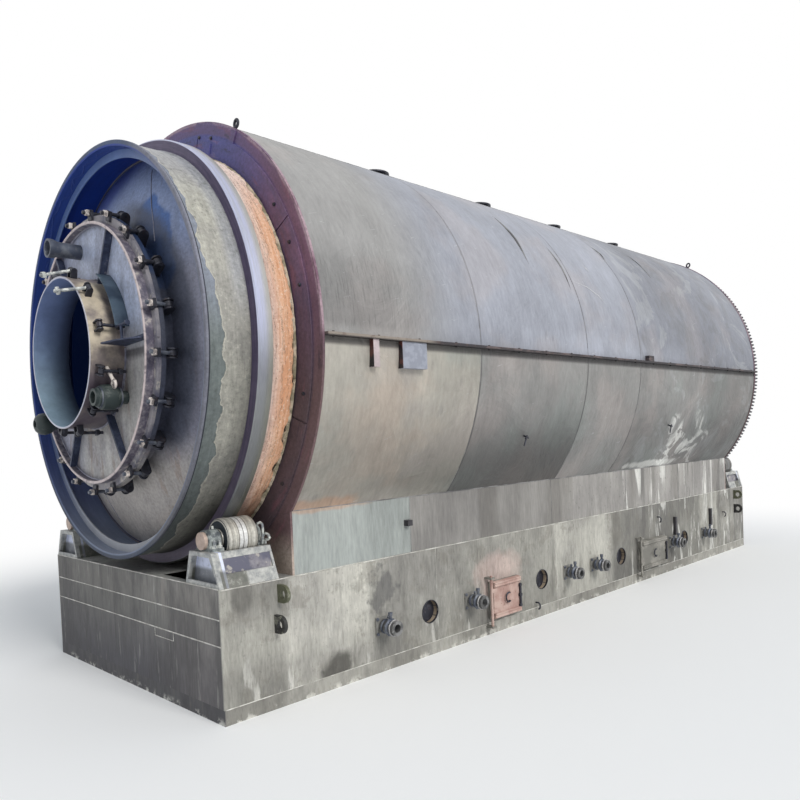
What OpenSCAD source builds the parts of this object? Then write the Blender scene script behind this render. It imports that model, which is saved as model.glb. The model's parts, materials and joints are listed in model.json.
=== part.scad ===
// Rotary pyrolysis reactor: a horizontal drum turning on rollers inside a fired furnace casing.
// The row origin is the middle of the base's underside. The charging end faces -Y, +Z is up.
// Stations named _s are measured along +Y from the front face of the base.

/* [Base] */
// Width of the base across its side plates
base_w = 2400; // [2200:10:2900]
// Length of the base
base_l = 7560; // [7000:10:9000]
// Height of the two end decks
deck_h = 770; // [650:5:850]
// Height of the skirt channel that the base stands on
skirt_h = 90; // [60:5:120]
// Width of the skirt channel
skirt_w = 60; // [40:5:100]
// Thickness of the steel wall and deck plates
plate_t = 10; // [6:1:16]
// Thickness of the firebrick behind the side walls
brick_t = 120; // [80:5:160]
// Top of the firebrick hearth
hearth_top = 105; // [90:5:120]

/* [Casing] */
// Outer radius of the furnace casing
casing_r = 1583; // [1560:1:1640]
// Thickness of the casing sheet
casing_t = 8; // [4:1:12]
// Thickness of the fibre lining under the casing
blanket_t = 95; // [50:5:100]
// Height of the drum axis above the ground
axis_z = 2192; // [2150:1:2300]
// Drop of the casing split line below the drum axis
split_drop = 12; // [0:1:30]
// How far the split flange stands out
split_w = 40; // [25:1:60]
// Thickness of the split flange
split_t = 20; // [12:1:30]
// Distance from the base's front face to the front end plate
front_inset = 500; // [480:5:600]
// Distance from the rear end plate to the base's rear face
rear_inset = 535; // [520:5:620]
// Thickness of the two end plates
end_plate_t = 16; // [10:1:25]
// How far the end plates stand out of the casing
end_plate_lip = 7; // [3:1:15]
// Radius of the round hole in the end plates
end_hole_r = 1345; // [1325:1:1360]
// Outer radius of the bolted cover ring on an end plate
cover_r = 1500; // [1460:1:1530]
// Thickness of the cover ring
cover_t = 8; // [5:1:15]
// Stations of the flue stubs along the crown
flue_s = [2430, 3870, 5150, 6460];
// Outer radius of a flue stub
flue_r = 100; // [70:5:120]
// Height of a flue stub over the casing
flue_h = 150; // [100:5:200]

/* [Drum] */
// Outer radius of the drum shell
drum_r = 1300; // [1250:1:1310]
// Thickness of the drum shell and its heads
drum_t = 18; // [12:1:25]
// Outer radius of the front rim
rim_r = 1338; // [1320:1:1360]
// How far the front rim stands out of the base's front face
rim_out = 78; // [30:1:120]
// Inner radius of the hoop that stiffens the front rim
hoop_r = 1250; // [1220:1:1290]
// Outer radius of the riding rings
ring_r = 1408; // [1395:1:1425]
// Width of a riding ring
ring_w = 100; // [80:5:140]
// Distance from a base end to the outer face of the nearer riding ring
ring_inset = 200; // [180:5:240]
// Radius to which the heads are dished
dish_r = 2800; // [2300:50:4000]
// Outer radius of the insulation wrapped on the drum ends
wrap_r = 1370; // [1350:1:1390]
// Number of teeth on the girth gear
gear_teeth = 240; // [160:2:260]
// Tip radius of the girth gear
gear_r = 1573; // [1540:1:1575]
// Width of the girth gear
gear_w = 80; // [60:5:100]
// Gap between the rear end plate's cover ring and the girth gear
gear_gap = 40; // [30:5:70]

/* [Door] */
// Outer radius of the door flange
flange_r = 880; // [860:1:920]
// Radius of the door opening
throat_r = 795; // [760:1:810]
// Thickness of the door flange
flange_t = 28; // [20:1:40]
// How far the flange face stands out of the base's front face
flange_out = 100; // [60:5:140]
// Outer radius of the door cover
cover_door_r = 835; // [815:1:850]
// Height of the rim of the door cover
cover_door_h = 75; // [60:1:100]
// Outer radius of the feed neck
neck_r = 475; // [400:5:520]
// Wall of the feed neck
neck_t = 12; // [8:1:20]
// How far the feed neck stands out of the base's front face
neck_out = 340; // [280:5:400]
// Number of clamps round the door flange
clamp_n = 20; // [12:1:20]
// Radius of the clamp bolts
clamp_bolt_r = 13; // [10:1:16]

/* [Rollers] */
// Radius of the support rollers
roller_r = 120; // [100:1:135]
// Width of the support rollers
roller_w = 205; // [180:5:230]
// Distance of the front rollers from the centre plane
front_roller_x = 987; // [900:1:1020]
// Distance of the rear rollers from the centre plane
rear_roller_x = 1010; // [900:5:1030]
// Radius of the roller shafts
shaft_r = 35; // [25:1:45]
// Width of a roller bearing housing
bearing_w = 40; // [30:1:45]
// Height of the roller pedestals above the deck
pedestal_h = 195; // [160:5:195]

/* [Flank] */
// Height of the burner axes
burner_z = 315; // [290:5:340]
// Stations of the burners
burner_s = [1210, 2120, 3460, 3910, 5510, 6330];
// Outer radius of a burner tube
burner_r = 42; // [34:1:50]
// Bore radius of a burner tube
burner_bore_r = 28; // [16:1:30]
// How far a burner stands out of the wall
burner_out = 150; // [100:5:180]
// Stations of the round air ports
port_s = [1680, 3070, 4420, 5830];
// Radius of the air ports
port_r = 80; // [50:5:95]
// Stations of the fire doors' hinge rods
fire_door_s = [2325, 4740];
// Widths of the fire doors
fire_door_w = [370, 550]; // [300:5:600]
// Height of a fire door
fire_door_h = 290; // [240:5:310]
// Height of a fire door's lower edge above the ground
fire_door_z = 125; // [115:5:150]
// Thickness of a fire door
fire_door_t = 26; // [16:1:40]
// Radius of the hinge rods
hinge_r = 11; // [8:1:15]
// Distance from the side wall to the hinge rod's axis
hinge_out = 50; // [46:1:60]
// Heights of the tie lugs on the side walls
lug_z = [507, 683];
// Distances of the two front tie lugs from the base's front face
front_lug_s = [365, 395]; // [250:5:480]
// Distance of the rear tie lugs from the base's rear face
rear_lug_s = 290; // [200:5:420]
// Radius of the lug eyes
eye_r = 26; // [20:1:30]

/* [Hidden] */
$fn = 180;
function to_tenth(v) = round(10 * v) / 10;     // lengths that other pieces stand on keep round values
gap = 0.3;         // what rolls or seats on a neighbour lies this far from it
run = 0.1;         // radial clearance of a shaft or pin in its bore
clear = 7;         // clearance between what turns and what stands still
eps = 1;           // overshoot of a cut
front_y = -base_l / 2;
half_w = base_w / 2;
split_z = axis_z - split_drop;
shell_in_r = casing_r - casing_t;
fire_in_r = shell_in_r - blanket_t;
wall_top = to_tenth(axis_z - sqrt(pow(casing_r, 2) - pow(half_w, 2)));
end_s = [front_inset, base_l - rear_inset];    // outer faces of the two end plates
shell_s = [front_inset + end_plate_t, base_l - rear_inset - end_plate_t];
ring_s = [ring_inset, base_l - ring_inset - ring_w];
door_face_s = -flange_out;
cover_disc_t = 16;
cover_flange_t = 22;
cover_disc_s = door_face_s - 26;               // front face of the door cover's disc
roller_inset = ring_inset + ring_w / 2 - roller_w / 2 - 14;
gear_s = end_s[1] + cover_t + gear_gap;
front_roller_z = to_tenth(axis_z - sqrt(pow(ring_r + gap + roller_r, 2) - pow(front_roller_x, 2)));
rear_roller_z = to_tenth(axis_z - sqrt(pow(ring_r + gap + roller_r, 2) - pow(rear_roller_x, 2)));
bearing_gap = 12;                              // between a roller and its bearing housings
shaft_l = roller_w + 2 * bearing_gap + 2 * bearing_w + 12;
pedestal_foot = 380;
pedestal_top = 244;
pedestal_margin = 5;                           // from a base end to its pedestal
pedestal_lip = 10;                             // how far a pedestal runs past its inner bearing
pedestal_l = roller_inset + roller_w + bearing_gap + bearing_w + pedestal_lip - pedestal_margin;
head_set = 20;                                 // how deep a head's edge sits in the drum shell
head_r = drum_r - drum_t;
head_s = [ring_s[0] + head_set, ring_s[1] + ring_w - head_set];
dish_centre = sqrt(pow(dish_r - drum_t, 2) - pow(head_r, 2));
door_hang = 5;                                 // gap between a closed fire door and its frame
frame_t = 16;
frame_w = 40;
throat_h = fire_door_h - 80;

// A child drawn at station s, at floor level.
module at_s(s) translate([0, front_y + s, 0]) children();

// A child drawn round the drum axis at station s, with its own +Z turned to +Y.
module on_axis(s) translate([0, front_y + s, axis_z]) rotate([-90, 0, 0]) children();

// A child drawn at angle a round the drum axis, from +X towards +Z, with +X outward.
module at_angle(s, a) translate([0, front_y + s, axis_z]) rotate([0, -a, 0]) children();

// The child and its mirror image across the centre plane.
module both_sides() {
    children();
    mirror([1, 0, 0]) children();
}

// A tube round the drum axis between two stations.
module tube(r_out, r_in, s0, s1) on_axis(s0) difference() {
    cylinder(r = r_out, h = s1 - s0);
    translate([0, 0, -eps]) cylinder(r = r_in, h = s1 - s0 + 2 * eps);
}

// A block from x0 to x1, station s0 to s1 and z0 to z1.
module block(x0, x1, s0, s1, z0, z1)
    translate([x0, front_y + s0, z0]) cube([x1 - x0, s1 - s0, z1 - z0]);

// Places its child on the right side wall at station s and height z, with +Z outward.
module on_wall(s, z, x = half_w) translate([x, front_y + s, z]) rotate([0, 90, 0]) children();

// ---- base ----

// The skirt and the floor plate are one welded tray.
module base_frame() color("dimgray") difference() {
    block(-half_w, half_w, 0, base_l, 0, skirt_h);
    block(-half_w + skirt_w, half_w - skirt_w, skirt_w, base_l - skirt_w, plate_t, skirt_h + eps);
}

module end_walls() color("gray") for (s = [0, base_l - plate_t])
    block(-half_w + plate_t, half_w - plate_t, s, s + plate_t, skirt_h, deck_h - plate_t);

// Everything that passes through the right wall and its brick.
module flank_cuts() {
    depth = brick_t + plate_t + 4 * eps;
    x = half_w - depth + 2 * eps;
    for (s = burner_s) on_wall(s, burner_z, x) cylinder(r = burner_r + eps, h = depth);
    for (s = port_s) on_wall(s, burner_z, x) cylinder(r = port_r, h = depth);
    for (i = fire_doors)
        block(x, half_w + eps, throat_s(i), throat_s(i) + throat_w(i), throat_z(), throat_z() + throat_h);
}

fire_doors = [0 : len(fire_door_s) - 1];
function throat_w(i) = fire_door_w[i] - 90;
function throat_s(i) = fire_door_s[i] + (fire_door_w[i] - throat_w(i)) / 2 + 12;
function throat_z() = fire_door_z + (fire_door_h - throat_h) / 2;

module side_wall() difference() {
    block(half_w - plate_t, half_w, 0, base_l, skirt_h, deck_h);
    flank_cuts();
}

module right_wall() color("darkgray") side_wall();
module left_wall() color("darkgray") mirror([1, 0, 0]) side_wall();

module upper_walls() color("silver") both_sides()
    block(half_w - plate_t, half_w, shell_s[0], shell_s[1], deck_h, wall_top);

// The front deck is open between its cover plate and the right pedestal.
module front_deck() difference() {
    block(-half_w + plate_t, half_w - plate_t, 0, end_s[0], deck_h - plate_t, deck_h);
    block(well_x[0], well_x[1], 60, end_s[0] - 60, deck_h - plate_t - eps, deck_h + eps);
}
well_x = [385, half_w - pedestal_foot];

// The rear deck has a pit for the girth gear, whose teeth reach below it.
module rear_deck() difference() {
    block(-half_w + plate_t, half_w - plate_t, end_s[1], base_l, deck_h - plate_t, deck_h);
    block(-pit_x, pit_x, gear_s - 30, gear_s + gear_w + clear, deck_h - plate_t - eps, deck_h + eps);
}
pit_x = sqrt(pow(gear_r, 2) - pow(axis_z - deck_h, 2)) + 40;

module decks() color("gray") {
    front_deck();
    rear_deck();
}

module hearth() color("tan")
    block(-half_w + skirt_w, half_w - skirt_w, shell_s[0], shell_s[1], plate_t, hearth_top);

// ---- lining ----

module side_linings() color("tan") both_sides() difference() {
    block(lining_x, half_w - plate_t, shell_s[0], shell_s[1], hearth_top, wall_top);
    flank_cuts();
}

// The fibre blanket under the whole casing, from one side lining round to the other.
module casing_lining() color("wheat") difference() {
    intersection() {
        tube(shell_in_r, fire_in_r, shell_s[0], shell_s[1]);
        block(-casing_r, casing_r, shell_s[0], shell_s[1], wall_top, axis_z + casing_r);
    }
    flue_bores();
}

// The brick that closes an end of the fire chamber round the drum.
module end_lining(s) on_axis(s) linear_extrude(blanket_t) difference() {
    union() {
        intersection() {
            circle(r = fire_in_r);
            translate([-casing_r, -casing_r]) square([2 * casing_r, casing_r + axis_z - wall_top]);
        }
        translate([-lining_x, axis_z - wall_top]) square([2 * lining_x, wall_top - hearth_top]);
    }
    circle(r = end_hole_r);
}
lining_x = half_w - plate_t - brick_t;

module end_linings() color("tan") for (s = [shell_s[0], shell_s[1] - blanket_t]) end_lining(s);

// ---- end plates and casing ----

module end_plate(s) difference() {
    union() {
        intersection() {
            on_axis(s) cylinder(r = casing_r + end_plate_lip, h = end_plate_t);
            block(-2 * half_w, 2 * half_w, s, s + end_plate_t, wall_top, 2 * axis_z);
        }
        block(-half_w, half_w, s, s + end_plate_t, deck_h, wall_top);
        block(-half_w + plate_t, half_w - plate_t, s, s + end_plate_t, skirt_h, deck_h);
    }
    on_axis(s - eps) cylinder(r = end_hole_r, h = end_plate_t + 2 * eps);
}

module end_plates() color("#4a3038") for (s = [end_s[0], shell_s[1]]) end_plate(s);

// A flat ring bolted over the hole, cut off where it would reach the deck.
module cover_ring(s) difference() {
    tube(cover_r, end_hole_r, s, s + cover_t);
    block(-casing_r, casing_r, s - eps, s + cover_t + eps, 0, deck_h);
}

module cover_rings() color("#52333c") for (s = [end_s[0] - cover_t, end_s[1]]) cover_ring(s);

module casing_crown() color("lightsteelblue") difference() {
    intersection() {
        tube(casing_r, shell_in_r, shell_s[0], shell_s[1]);
        block(-casing_r, casing_r, shell_s[0], shell_s[1], split_z, axis_z + casing_r);
    }
    flue_bores();
}

module casing_side() intersection() {
    tube(casing_r, shell_in_r, shell_s[0], shell_s[1]);
    block(0, casing_r, shell_s[0], shell_s[1], wall_top, split_z);
}

module casing_sides() color("silver") both_sides() casing_side();

split_x = sqrt(pow(casing_r, 2) - pow(split_drop, 2));
module split_flanges() color("#2b2b33") both_sides() difference() {
    block(split_x - casing_t, split_x + split_w, shell_s[0], shell_s[1],
        split_z - split_t / 2, split_z + split_t / 2);
    on_axis(shell_s[0] - eps) cylinder(r = casing_r, h = base_l);
}

module flue_bores() for (s = flue_s)
    translate([0, front_y + s, axis_z]) cylinder(r = flue_r - casing_t, h = 2 * casing_r);

module flue_stubs() color("#3a3a40") for (s = flue_s) difference() {
    union() {
        translate([0, front_y + s, axis_z]) cylinder(r = flue_r, h = casing_r + flue_h);
        translate([0, front_y + s, axis_z + casing_r + flue_h - 12]) cylinder(r = flue_r + 32, h = 12);
    }
    on_axis(s - 2 * flue_r) cylinder(r = casing_r, h = 4 * flue_r);
    translate([0, front_y + s, axis_z]) cylinder(r = flue_r - casing_t, h = 2 * casing_r);
}

// ---- what lifts and ties ----

// A rounded ear of height h with an eye, standing on the plane x = 0 and flat in the XZ plane.
module ear(out, h, t, r) difference() {
    rotate([90, 0, 0]) linear_extrude(t, center = true) intersection() {
        union() {
            translate([0, -h / 2]) square([out - h / 2, h]);
            translate([out - h / 2, 0]) circle(d = h);
        }
        translate([0, -h]) square([out + eps, 2 * h]);
    }
    translate([out - h / 2, 0, 0]) rotate([90, 0, 0]) cylinder(r = r, h = 2 * t, center = true);
}

eye_angle = 60;
module lifting_eyes() color("#4a3038") both_sides()
    for (s = [end_s[0] + end_plate_t / 2, end_s[1] - end_plate_t / 2])
        at_angle(s, eye_angle) translate([casing_r + end_plate_lip, 0, 0])
            ear(62, 44, end_plate_t, 13);

module tie_lugs() color("#3c3c3c") both_sides()
    for (i = [0, 1], s = [front_lug_s[i], base_l - rear_lug_s])
        at_s(s) translate([half_w, 0, lug_z[i]]) ear(105, 108, 22, eye_r);

// ---- roller stations ----

// The stations of a roller: s is the end nearest the base's end, side 0 front and 1 rear.
function roller_s(side) = side == 0 ? roller_inset : base_l - roller_inset - roller_w;
function roller_x(side) = side == 0 ? front_roller_x : rear_roller_x;
function roller_z(side) = side == 0 ? front_roller_z : rear_roller_z;

// A slab between two distances from the base's nearer end, of the outline its child draws upright on the deck.
module pedestal_slab(side, s0, s1)
    at_s(side == 0 ? s0 : base_l - s1) translate([0, s1 - s0, deck_h]) rotate([90, 0, 0])
        linear_extrude(s1 - s0) children();

// A pedestal's outline with its sides drawn in by w, its bottom raised by up and its top lowered by down.
module pedestal_outline(side, w, up, down) polygon([
    [half_w - pedestal_foot + w, up],
    [half_w - w, up],
    [roller_x(side) + pedestal_top / 2 + 15 - w, pedestal_h - down],
    [roller_x(side) - pedestal_top / 2 + 15 + w, pedestal_h - down]
]);

// A welded box with a framed panel set back in its outer end, a window in its flank and a notch for the roller.
module pedestal(side) {
    wall = 12;
    m = pedestal_margin;
    sink = roller_z(side) - deck_h - pedestal_h;
    notch = sqrt(pow(roller_r, 2) - pow(sink, 2)) + clear;
    difference() {
        pedestal_slab(side, m, m + pedestal_l) pedestal_outline(side, 0, 0, 0);
        pedestal_slab(side, m - eps, m + wall + eps) pedestal_outline(side, 25, 25, 25);
        pedestal_slab(side, m + wall, m + 50) pedestal_outline(side, wall, -eps, wall);
        pedestal_slab(side, m + 50 + wall, m + pedestal_l - wall) pedestal_outline(side, wall, -eps, wall);
        block(roller_x(side) - notch, roller_x(side) + notch,
            roller_s(side) - clear, roller_s(side) + roller_w + clear,
            roller_z(side) - roller_r - 2 * clear, deck_h + pedestal_h + eps);
        pedestal_slab(side, m + 65, m + pedestal_l - 16) translate([roller_x(side), 75])
            square([half_w, 85]);
    }
}

module pedestals() color("gray") for (side = [0, 1]) both_sides() pedestal(side);

// A pillow block: a round housing on a foot, cut flat at its seat. It starts at y = 0 and the
// roller's axis runs along y. The outer block is longer and closed by a round cap.
module bearing(side, outer) difference() {
    foot = roller_z(side) - deck_h - pedestal_h;
    w = outer ? 2 * bearing_w : bearing_w;
    union() {
        rotate([-90, 0, 0]) cylinder(r = shaft_r + 27, h = w);
        translate([-shaft_r - 27, 0, -foot]) cube([2 * shaft_r + 54, w, foot]);
        translate([-shaft_r - 50, 0, -foot]) cube([2 * shaft_r + 100, w, 18]);
        if (outer) rotate([-90, 0, 0]) cylinder(r = shaft_r + 17, h = w + 22);
    }
    translate([-200, -eps, -foot - 200]) cube([400, w + 22 + 2 * eps, 200]);
    translate([0, -eps, 0]) rotate([-90, 0, 0])
        cylinder(r = shaft_r + run, h = outer ? bearing_w + 6 + clear + eps : w + 2 * eps);
}

// The two blocks of a roller, the outer one towards the base's end.
module bearing_pair(side) {
    s = roller_s(side);
    for (end = [0, 1])
        translate([roller_x(side), front_y + (end == 0 ? s - bearing_gap : s + roller_w + bearing_gap),
            roller_z(side)])
            mirror([0, 1 - end, 0]) bearing(side, end == side);
}

module bearings() color("#262a2c") for (side = [0, 1]) both_sides() bearing_pair(side);

module roller(side) translate([roller_x(side), front_y + roller_s(side), roller_z(side)])
    rotate([-90, 0, 0]) {
        cylinder(r = roller_r, h = roller_w);
        translate([0, 0, -bearing_gap - bearing_w - 6]) cylinder(r = shaft_r, h = shaft_l);
    }

module front_right_roller() color("lightgray") roller(0);
module front_left_roller() color("lightgray") mirror([1, 0, 0]) roller(0);
module rear_right_roller() color("lightgray") roller(1);
module rear_left_roller() color("lightgray") mirror([1, 0, 0]) roller(1);

// ---- flank fittings ----

module burner(s) on_wall(s, burner_z) difference() {
    union() {
        translate([0, 0, -brick_t]) cylinder(r = burner_r, h = brick_t + burner_out - 24);
        translate([0, 0, burner_out - 24]) cylinder(r = burner_r + 9, h = 24);
        translate([-62, -62, 0]) cube([124, 124, 10]);
    }
    translate([0, 0, -brick_t - eps]) cylinder(r = burner_bore_r, h = brick_t + burner_out + 2 * eps);
}

module burners() color("#3b4046") both_sides() for (s = burner_s) burner(s);

// The frame round a fire door's opening, and the brackets that hold its hinge rod.
module fire_door_frame(i) {
    s = fire_door_s[i];
    z = throat_z();
    t0 = throat_s(i);
    t1 = t0 + throat_w(i);
    difference() {
        block(half_w, half_w + frame_t, t0 - frame_w, t1 + frame_w, z - frame_w, z + throat_h + frame_w);
        block(half_w - eps, half_w + frame_t + eps, t0, t1, z, z + throat_h);
    }
    for (zb = hinge_brackets()) difference() {
        block(half_w, half_w + hinge_out + hinge_r + 10, s - 22, s + 22, zb, zb + 14);
        translate([half_w + hinge_out, front_y + s, zb - eps]) cylinder(r = hinge_r + run, h = 16);
    }
}

function hinge_brackets() = [fire_door_z - 62, fire_door_z + fire_door_h + 30];

module fire_door_frames() color("#6d6a66") both_sides() for (i = fire_doors) fire_door_frame(i);

// A fire door: a ribbed panel, two straps and the hinge rod that turns in the brackets.
module fire_door(i) {
    s = fire_door_s[i];
    w = fire_door_w[i];
    x0 = half_w + frame_t + door_hang;
    rod_z = hinge_brackets()[0] - 6;
    block(x0, x0 + fire_door_t, s + 30, s + w, fire_door_z, fire_door_z + fire_door_h);
    for (z = [fire_door_z + 6, fire_door_z + fire_door_h - 40])
        block(x0 + fire_door_t - eps, x0 + fire_door_t + 12, s + 30, s + w, z, z + 34);
    for (z = [fire_door_z + 50, fire_door_z + fire_door_h - 80])
        block(half_w + hinge_out - 8, half_w + hinge_out + 8, s, s + 60, z, z + 30);
    translate([half_w + hinge_out, front_y + s, rod_z])
        cylinder(r = hinge_r, h = hinge_brackets()[1] + 14 + 12 - rod_z);
}

module front_fire_door() color("#b98c80") fire_door(0);
module rear_fire_door() color("#8d8a84") fire_door(1);
module left_fire_doors() color("#8d8a84") mirror([1, 0, 0]) for (i = fire_doors) fire_door(i);

// Damper levers and small brackets on the side walls.
lever_s = [5590, 6520];
flange_plates = [[884, 50], [1210, 220]];     // station and width of each plate under the split flange
module flank_fittings() color("#2a2a2e") both_sides() {
    for (s = lever_s) block(half_w, half_w + 30, s - 20, s + 20, burner_z + 70, burner_z + 265);
    block(half_w, half_w + 40, 1455, 1500, 960, 1000);
    for (p = flange_plates) difference() {
        block(casing_r - 60, casing_r + 30, p[0] - p[1] / 2, p[0] + p[1] / 2,
            split_z - split_t / 2 - 165, split_z - split_t / 2);
        on_axis(p[0] - p[1]) cylinder(r = casing_r, h = 2 * p[1]);
    }
}

// ---- drum ----

module drum_shell() color("#6b6a66") tube(drum_r, drum_r - drum_t, ring_s[0], ring_s[1] + ring_w);

module drum_rim() color("#7c7f78") {
    tube(rim_r, drum_r + 3, -rim_out, ring_s[0]);
    tube(drum_r + 10, hoop_r, 0, 12);
}

// How far a dished head's outer face stands out of its edge plane at radius r.
function dish(r) = sqrt(pow(dish_r, 2) - pow(r, 2)) - dish_centre;

// A dished head with a round hole, its edge in the plane z = 0 and its dish towards -Z.
module dished_head(hole_r) difference() {
    intersection() {
        translate([0, 0, -dish(0) - eps]) cylinder(r = head_r, h = dish(0) + eps);
        translate([0, 0, dish_centre]) difference() {
            sphere(r = dish_r);
            sphere(r = dish_r - drum_t);
        }
    }
    cylinder(r = hole_r, h = 4 * dish(0), center = true);
}

module drum_head() color("#85808c") on_axis(head_s[0]) dished_head(throat_r);

outlet_r = 240;
outlet_t = 12;
outlet_out = 120;     // how far the outlet's flange stands out of the rear head
module rear_head() color("#85808c") on_axis(head_s[1]) mirror([0, 0, 1]) dished_head(outlet_r);

module gas_outlet() color("#55575c") {
    s1 = head_s[1] + dish(0) + outlet_out;
    tube(outlet_r, outlet_r - outlet_t, s1 - outlet_out - 2 * drum_t, s1);
    tube(outlet_r + 60, outlet_r - outlet_t, s1 - 22, s1);
}

module riding_rings() color("lightgray") for (s = ring_s) tube(ring_r, drum_r, s, s + ring_w);

module drum_wraps() color("sandybrown") {
    tube(wrap_r, drum_r, ring_s[0] + ring_w, end_s[0] - cover_t - clear);
    tube(wrap_r, drum_r, gear_s + gear_w, ring_s[1]);
}

// The outline of the gear: each tooth is a trapezium from root to tip.
module gear_outline() {
    pitch = 360 / gear_teeth;
    depth = 27;
    polygon([for (i = [0 : gear_teeth - 1], c = [[-0.36, depth], [-0.16, 0], [0.16, 0], [0.36, depth]])
        [(gear_r - c[1]) * cos((i + c[0]) * pitch), (gear_r - c[1]) * sin((i + c[0]) * pitch)]]);
}

module girth_gear() color("#3a3d40") on_axis(gear_s) difference() {
    linear_extrude(gear_w) gear_outline();
    translate([0, 0, -eps]) cylinder(r = drum_r, h = gear_w + 2 * eps);
    for (z = [-eps, gear_w / 2 + 12]) translate([0, 0, z]) difference() {
        cylinder(r = gear_r - 110, h = gear_w / 2 - 12 + eps);
        translate([0, 0, -eps]) cylinder(r = drum_r + 40, h = gear_w);
    }
}

// ---- charging door ----

module door_flange() color("#77798a") difference() {
    union() {
        tube(flange_r, throat_r, door_face_s, door_face_s + flange_t);
        tube(throat_r + 20, throat_r, door_face_s, head_s[0]);
    }
    on_axis(head_s[0] + dish_centre) sphere(r = dish_r);
}

module door_cover() color("#8c8490") difference() {
    union() {
        tube(cover_door_r, cover_door_r - 18, door_face_s - cover_door_h, door_face_s);
        on_axis(cover_disc_s) cylinder(r = cover_door_r - 10, h = cover_disc_t);
        tube(flange_r, cover_door_r - 18, door_face_s - cover_flange_t, door_face_s);
    }
    on_axis(cover_disc_s - eps) cylinder(r = neck_r, h = cover_disc_t + 2 * eps);
    for (i = [0 : clamp_n - 1]) at_angle(door_face_s - cover_flange_t - eps, clamp_angle(i))
        translate([flange_r - 18, 0, -clamp_bolt_r - 5])
            cube([40, cover_flange_t + 2 * eps, 2 * clamp_bolt_r + 10]);
}

module feed_neck() color("#6f7280")
    tube(neck_r, neck_r - neck_t, -neck_out, cover_disc_s + cover_disc_t);

rib_n = 6;
module neck_ribs() color("#5f6270") for (i = [0 : rib_n - 1])
    at_angle(door_face_s - cover_door_h + 4, i * 360 / rib_n + 2) difference() {
        translate([neck_r - 10, 0, -8])
            cube([cover_door_r - 18 - neck_r + 10 - gap, cover_disc_s - door_face_s + cover_door_h - 4, 16]);
        rotate([-90, 0, 0]) translate([0, 0, -eps]) cylinder(r = neck_r, h = 200);
    }

// Two rounded ears from radius r0 to a pivot pin at radius r, between y0 and y1 along the axis.
module pivot(r0, r, y0, y1) {
    half = (y1 - y0) / 2;
    translate([r, (y0 + y1) / 2, 0]) cylinder(r = half, h = 46, center = true);
    for (z = [-31, 22]) translate([0, 0, z]) {
        translate([r0, y0, 0]) cube([r - r0, y1 - y0, 9]);
        translate([r, (y0 + y1) / 2, 0]) cylinder(r = half, h = 9);
    }
}

// Each clamp is a bolt that swings on a pivot behind the flange. Its square nut holds a claw on the cover.
function clamp_angle(i) = i * 360 / clamp_n + 13;
module clamp() {
    bolt_x = flange_r + clamp_bolt_r + 4;
    claw_y = -cover_flange_t - claw_t;
    difference() {
        pivot(throat_r + 10, bolt_x, flange_t, flange_t + 64);
        rotate([-90, 0, 0]) cylinder(r = throat_r + 20, h = flange_t + 100);
    }
    translate([bolt_x, claw_y - 42, 0]) rotate([-90, 0, 0])
        cylinder(r = clamp_bolt_r, h = flange_t + 32 - claw_y + 42);
    translate([bolt_x - 20, claw_y - 30, -20]) cube([40, 30 + eps, 40]);
    translate([cover_door_r + 15, claw_y, -27]) cube([bolt_x - cover_door_r + 5, claw_t, 54]);
}
claw_t = 16;

module door_clamps() color("#20242c") for (i = [0 : clamp_n - 1])
    at_angle(door_face_s, clamp_angle(i)) clamp();

// Swing bolts round the neck. The raised ones point forward, the others lie back against the neck.
neck_bolt_n = 12;
raised = [1, 2];
module neck_bolt(up) difference() {
    union() {
        pivot(neck_r - 5, neck_r + 45, -20, 20);
        translate([neck_r + 45, 0, 0]) rotate([up ? 90 : -90, 0, 0]) rotate([0, up ? -16 : 0, 0]) {
            cylinder(r = 11, h = up ? 195 : 150);
            translate([-17, -17, up ? 160 : 100]) cube([34, 34, 24]);
        }
    }
    rotate([-90, 0, 0]) translate([0, 0, -200]) cylinder(r = neck_r, h = 400);
}

module neck_bolts() color("#20242c") for (i = [0 : neck_bolt_n - 1])
    at_angle(-neck_out + 50, i * 360 / neck_bolt_n + 13) neck_bolt(len(search(i, raised)) > 0);

// Angle and radius of each pipe stub on the door cover, and its own pipe radius.
stubs = [[101, cover_door_r - 135, 48], [-32, neck_r + 115, 52], [-142, cover_door_r - 145, 44]];
module pipe_stubs() color("#3d4450") for (p = stubs) at_angle(-neck_out + 10, p[0])
    translate([p[1], 0, 0]) rotate([-90, 0, 0]) difference() {
        union() {
            cylinder(r = p[2], h = cover_disc_s + neck_out - 10);
            cylinder(r = p[2] + 12, h = 34);
        }
        translate([0, 0, -eps]) cylinder(r = p[2] - 9, h = neck_out);
    }

base_frame();
end_walls();
right_wall();
left_wall();
upper_walls();
decks();
hearth();
side_linings();
casing_lining();
end_linings();
end_plates();
cover_rings();
casing_crown();
casing_sides();
split_flanges();
flue_stubs();
lifting_eyes();
tie_lugs();
pedestals();
bearings();
burners();
fire_door_frames();
left_fire_doors();
flank_fittings();
drum_shell();
drum_rim();
drum_head();
rear_head();
gas_outlet();
riding_rings();
drum_wraps();
girth_gear();
door_flange();
door_cover();
door_clamps();
feed_neck();
neck_ribs();
neck_bolts();
pipe_stubs();
front_right_roller();
front_left_roller();
rear_right_roller();
rear_left_roller();
front_fire_door();
rear_fire_door();
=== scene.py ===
"""Looks of a rotary pyrolysis reactor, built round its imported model.

The model gives every size and place. This script adds finishes, weld seams, bolts, clamps, torn lining
and fittings. Lengths are in metres in the model's own frame: the charging door faces -Y, the drum turns
about an axis along +Y and the ground is z = 0. A station is a distance behind the base's front face.
"""

import json
import math
import random

import bmesh
import bpy
from mathutils import Matrix, Vector, noise

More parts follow.
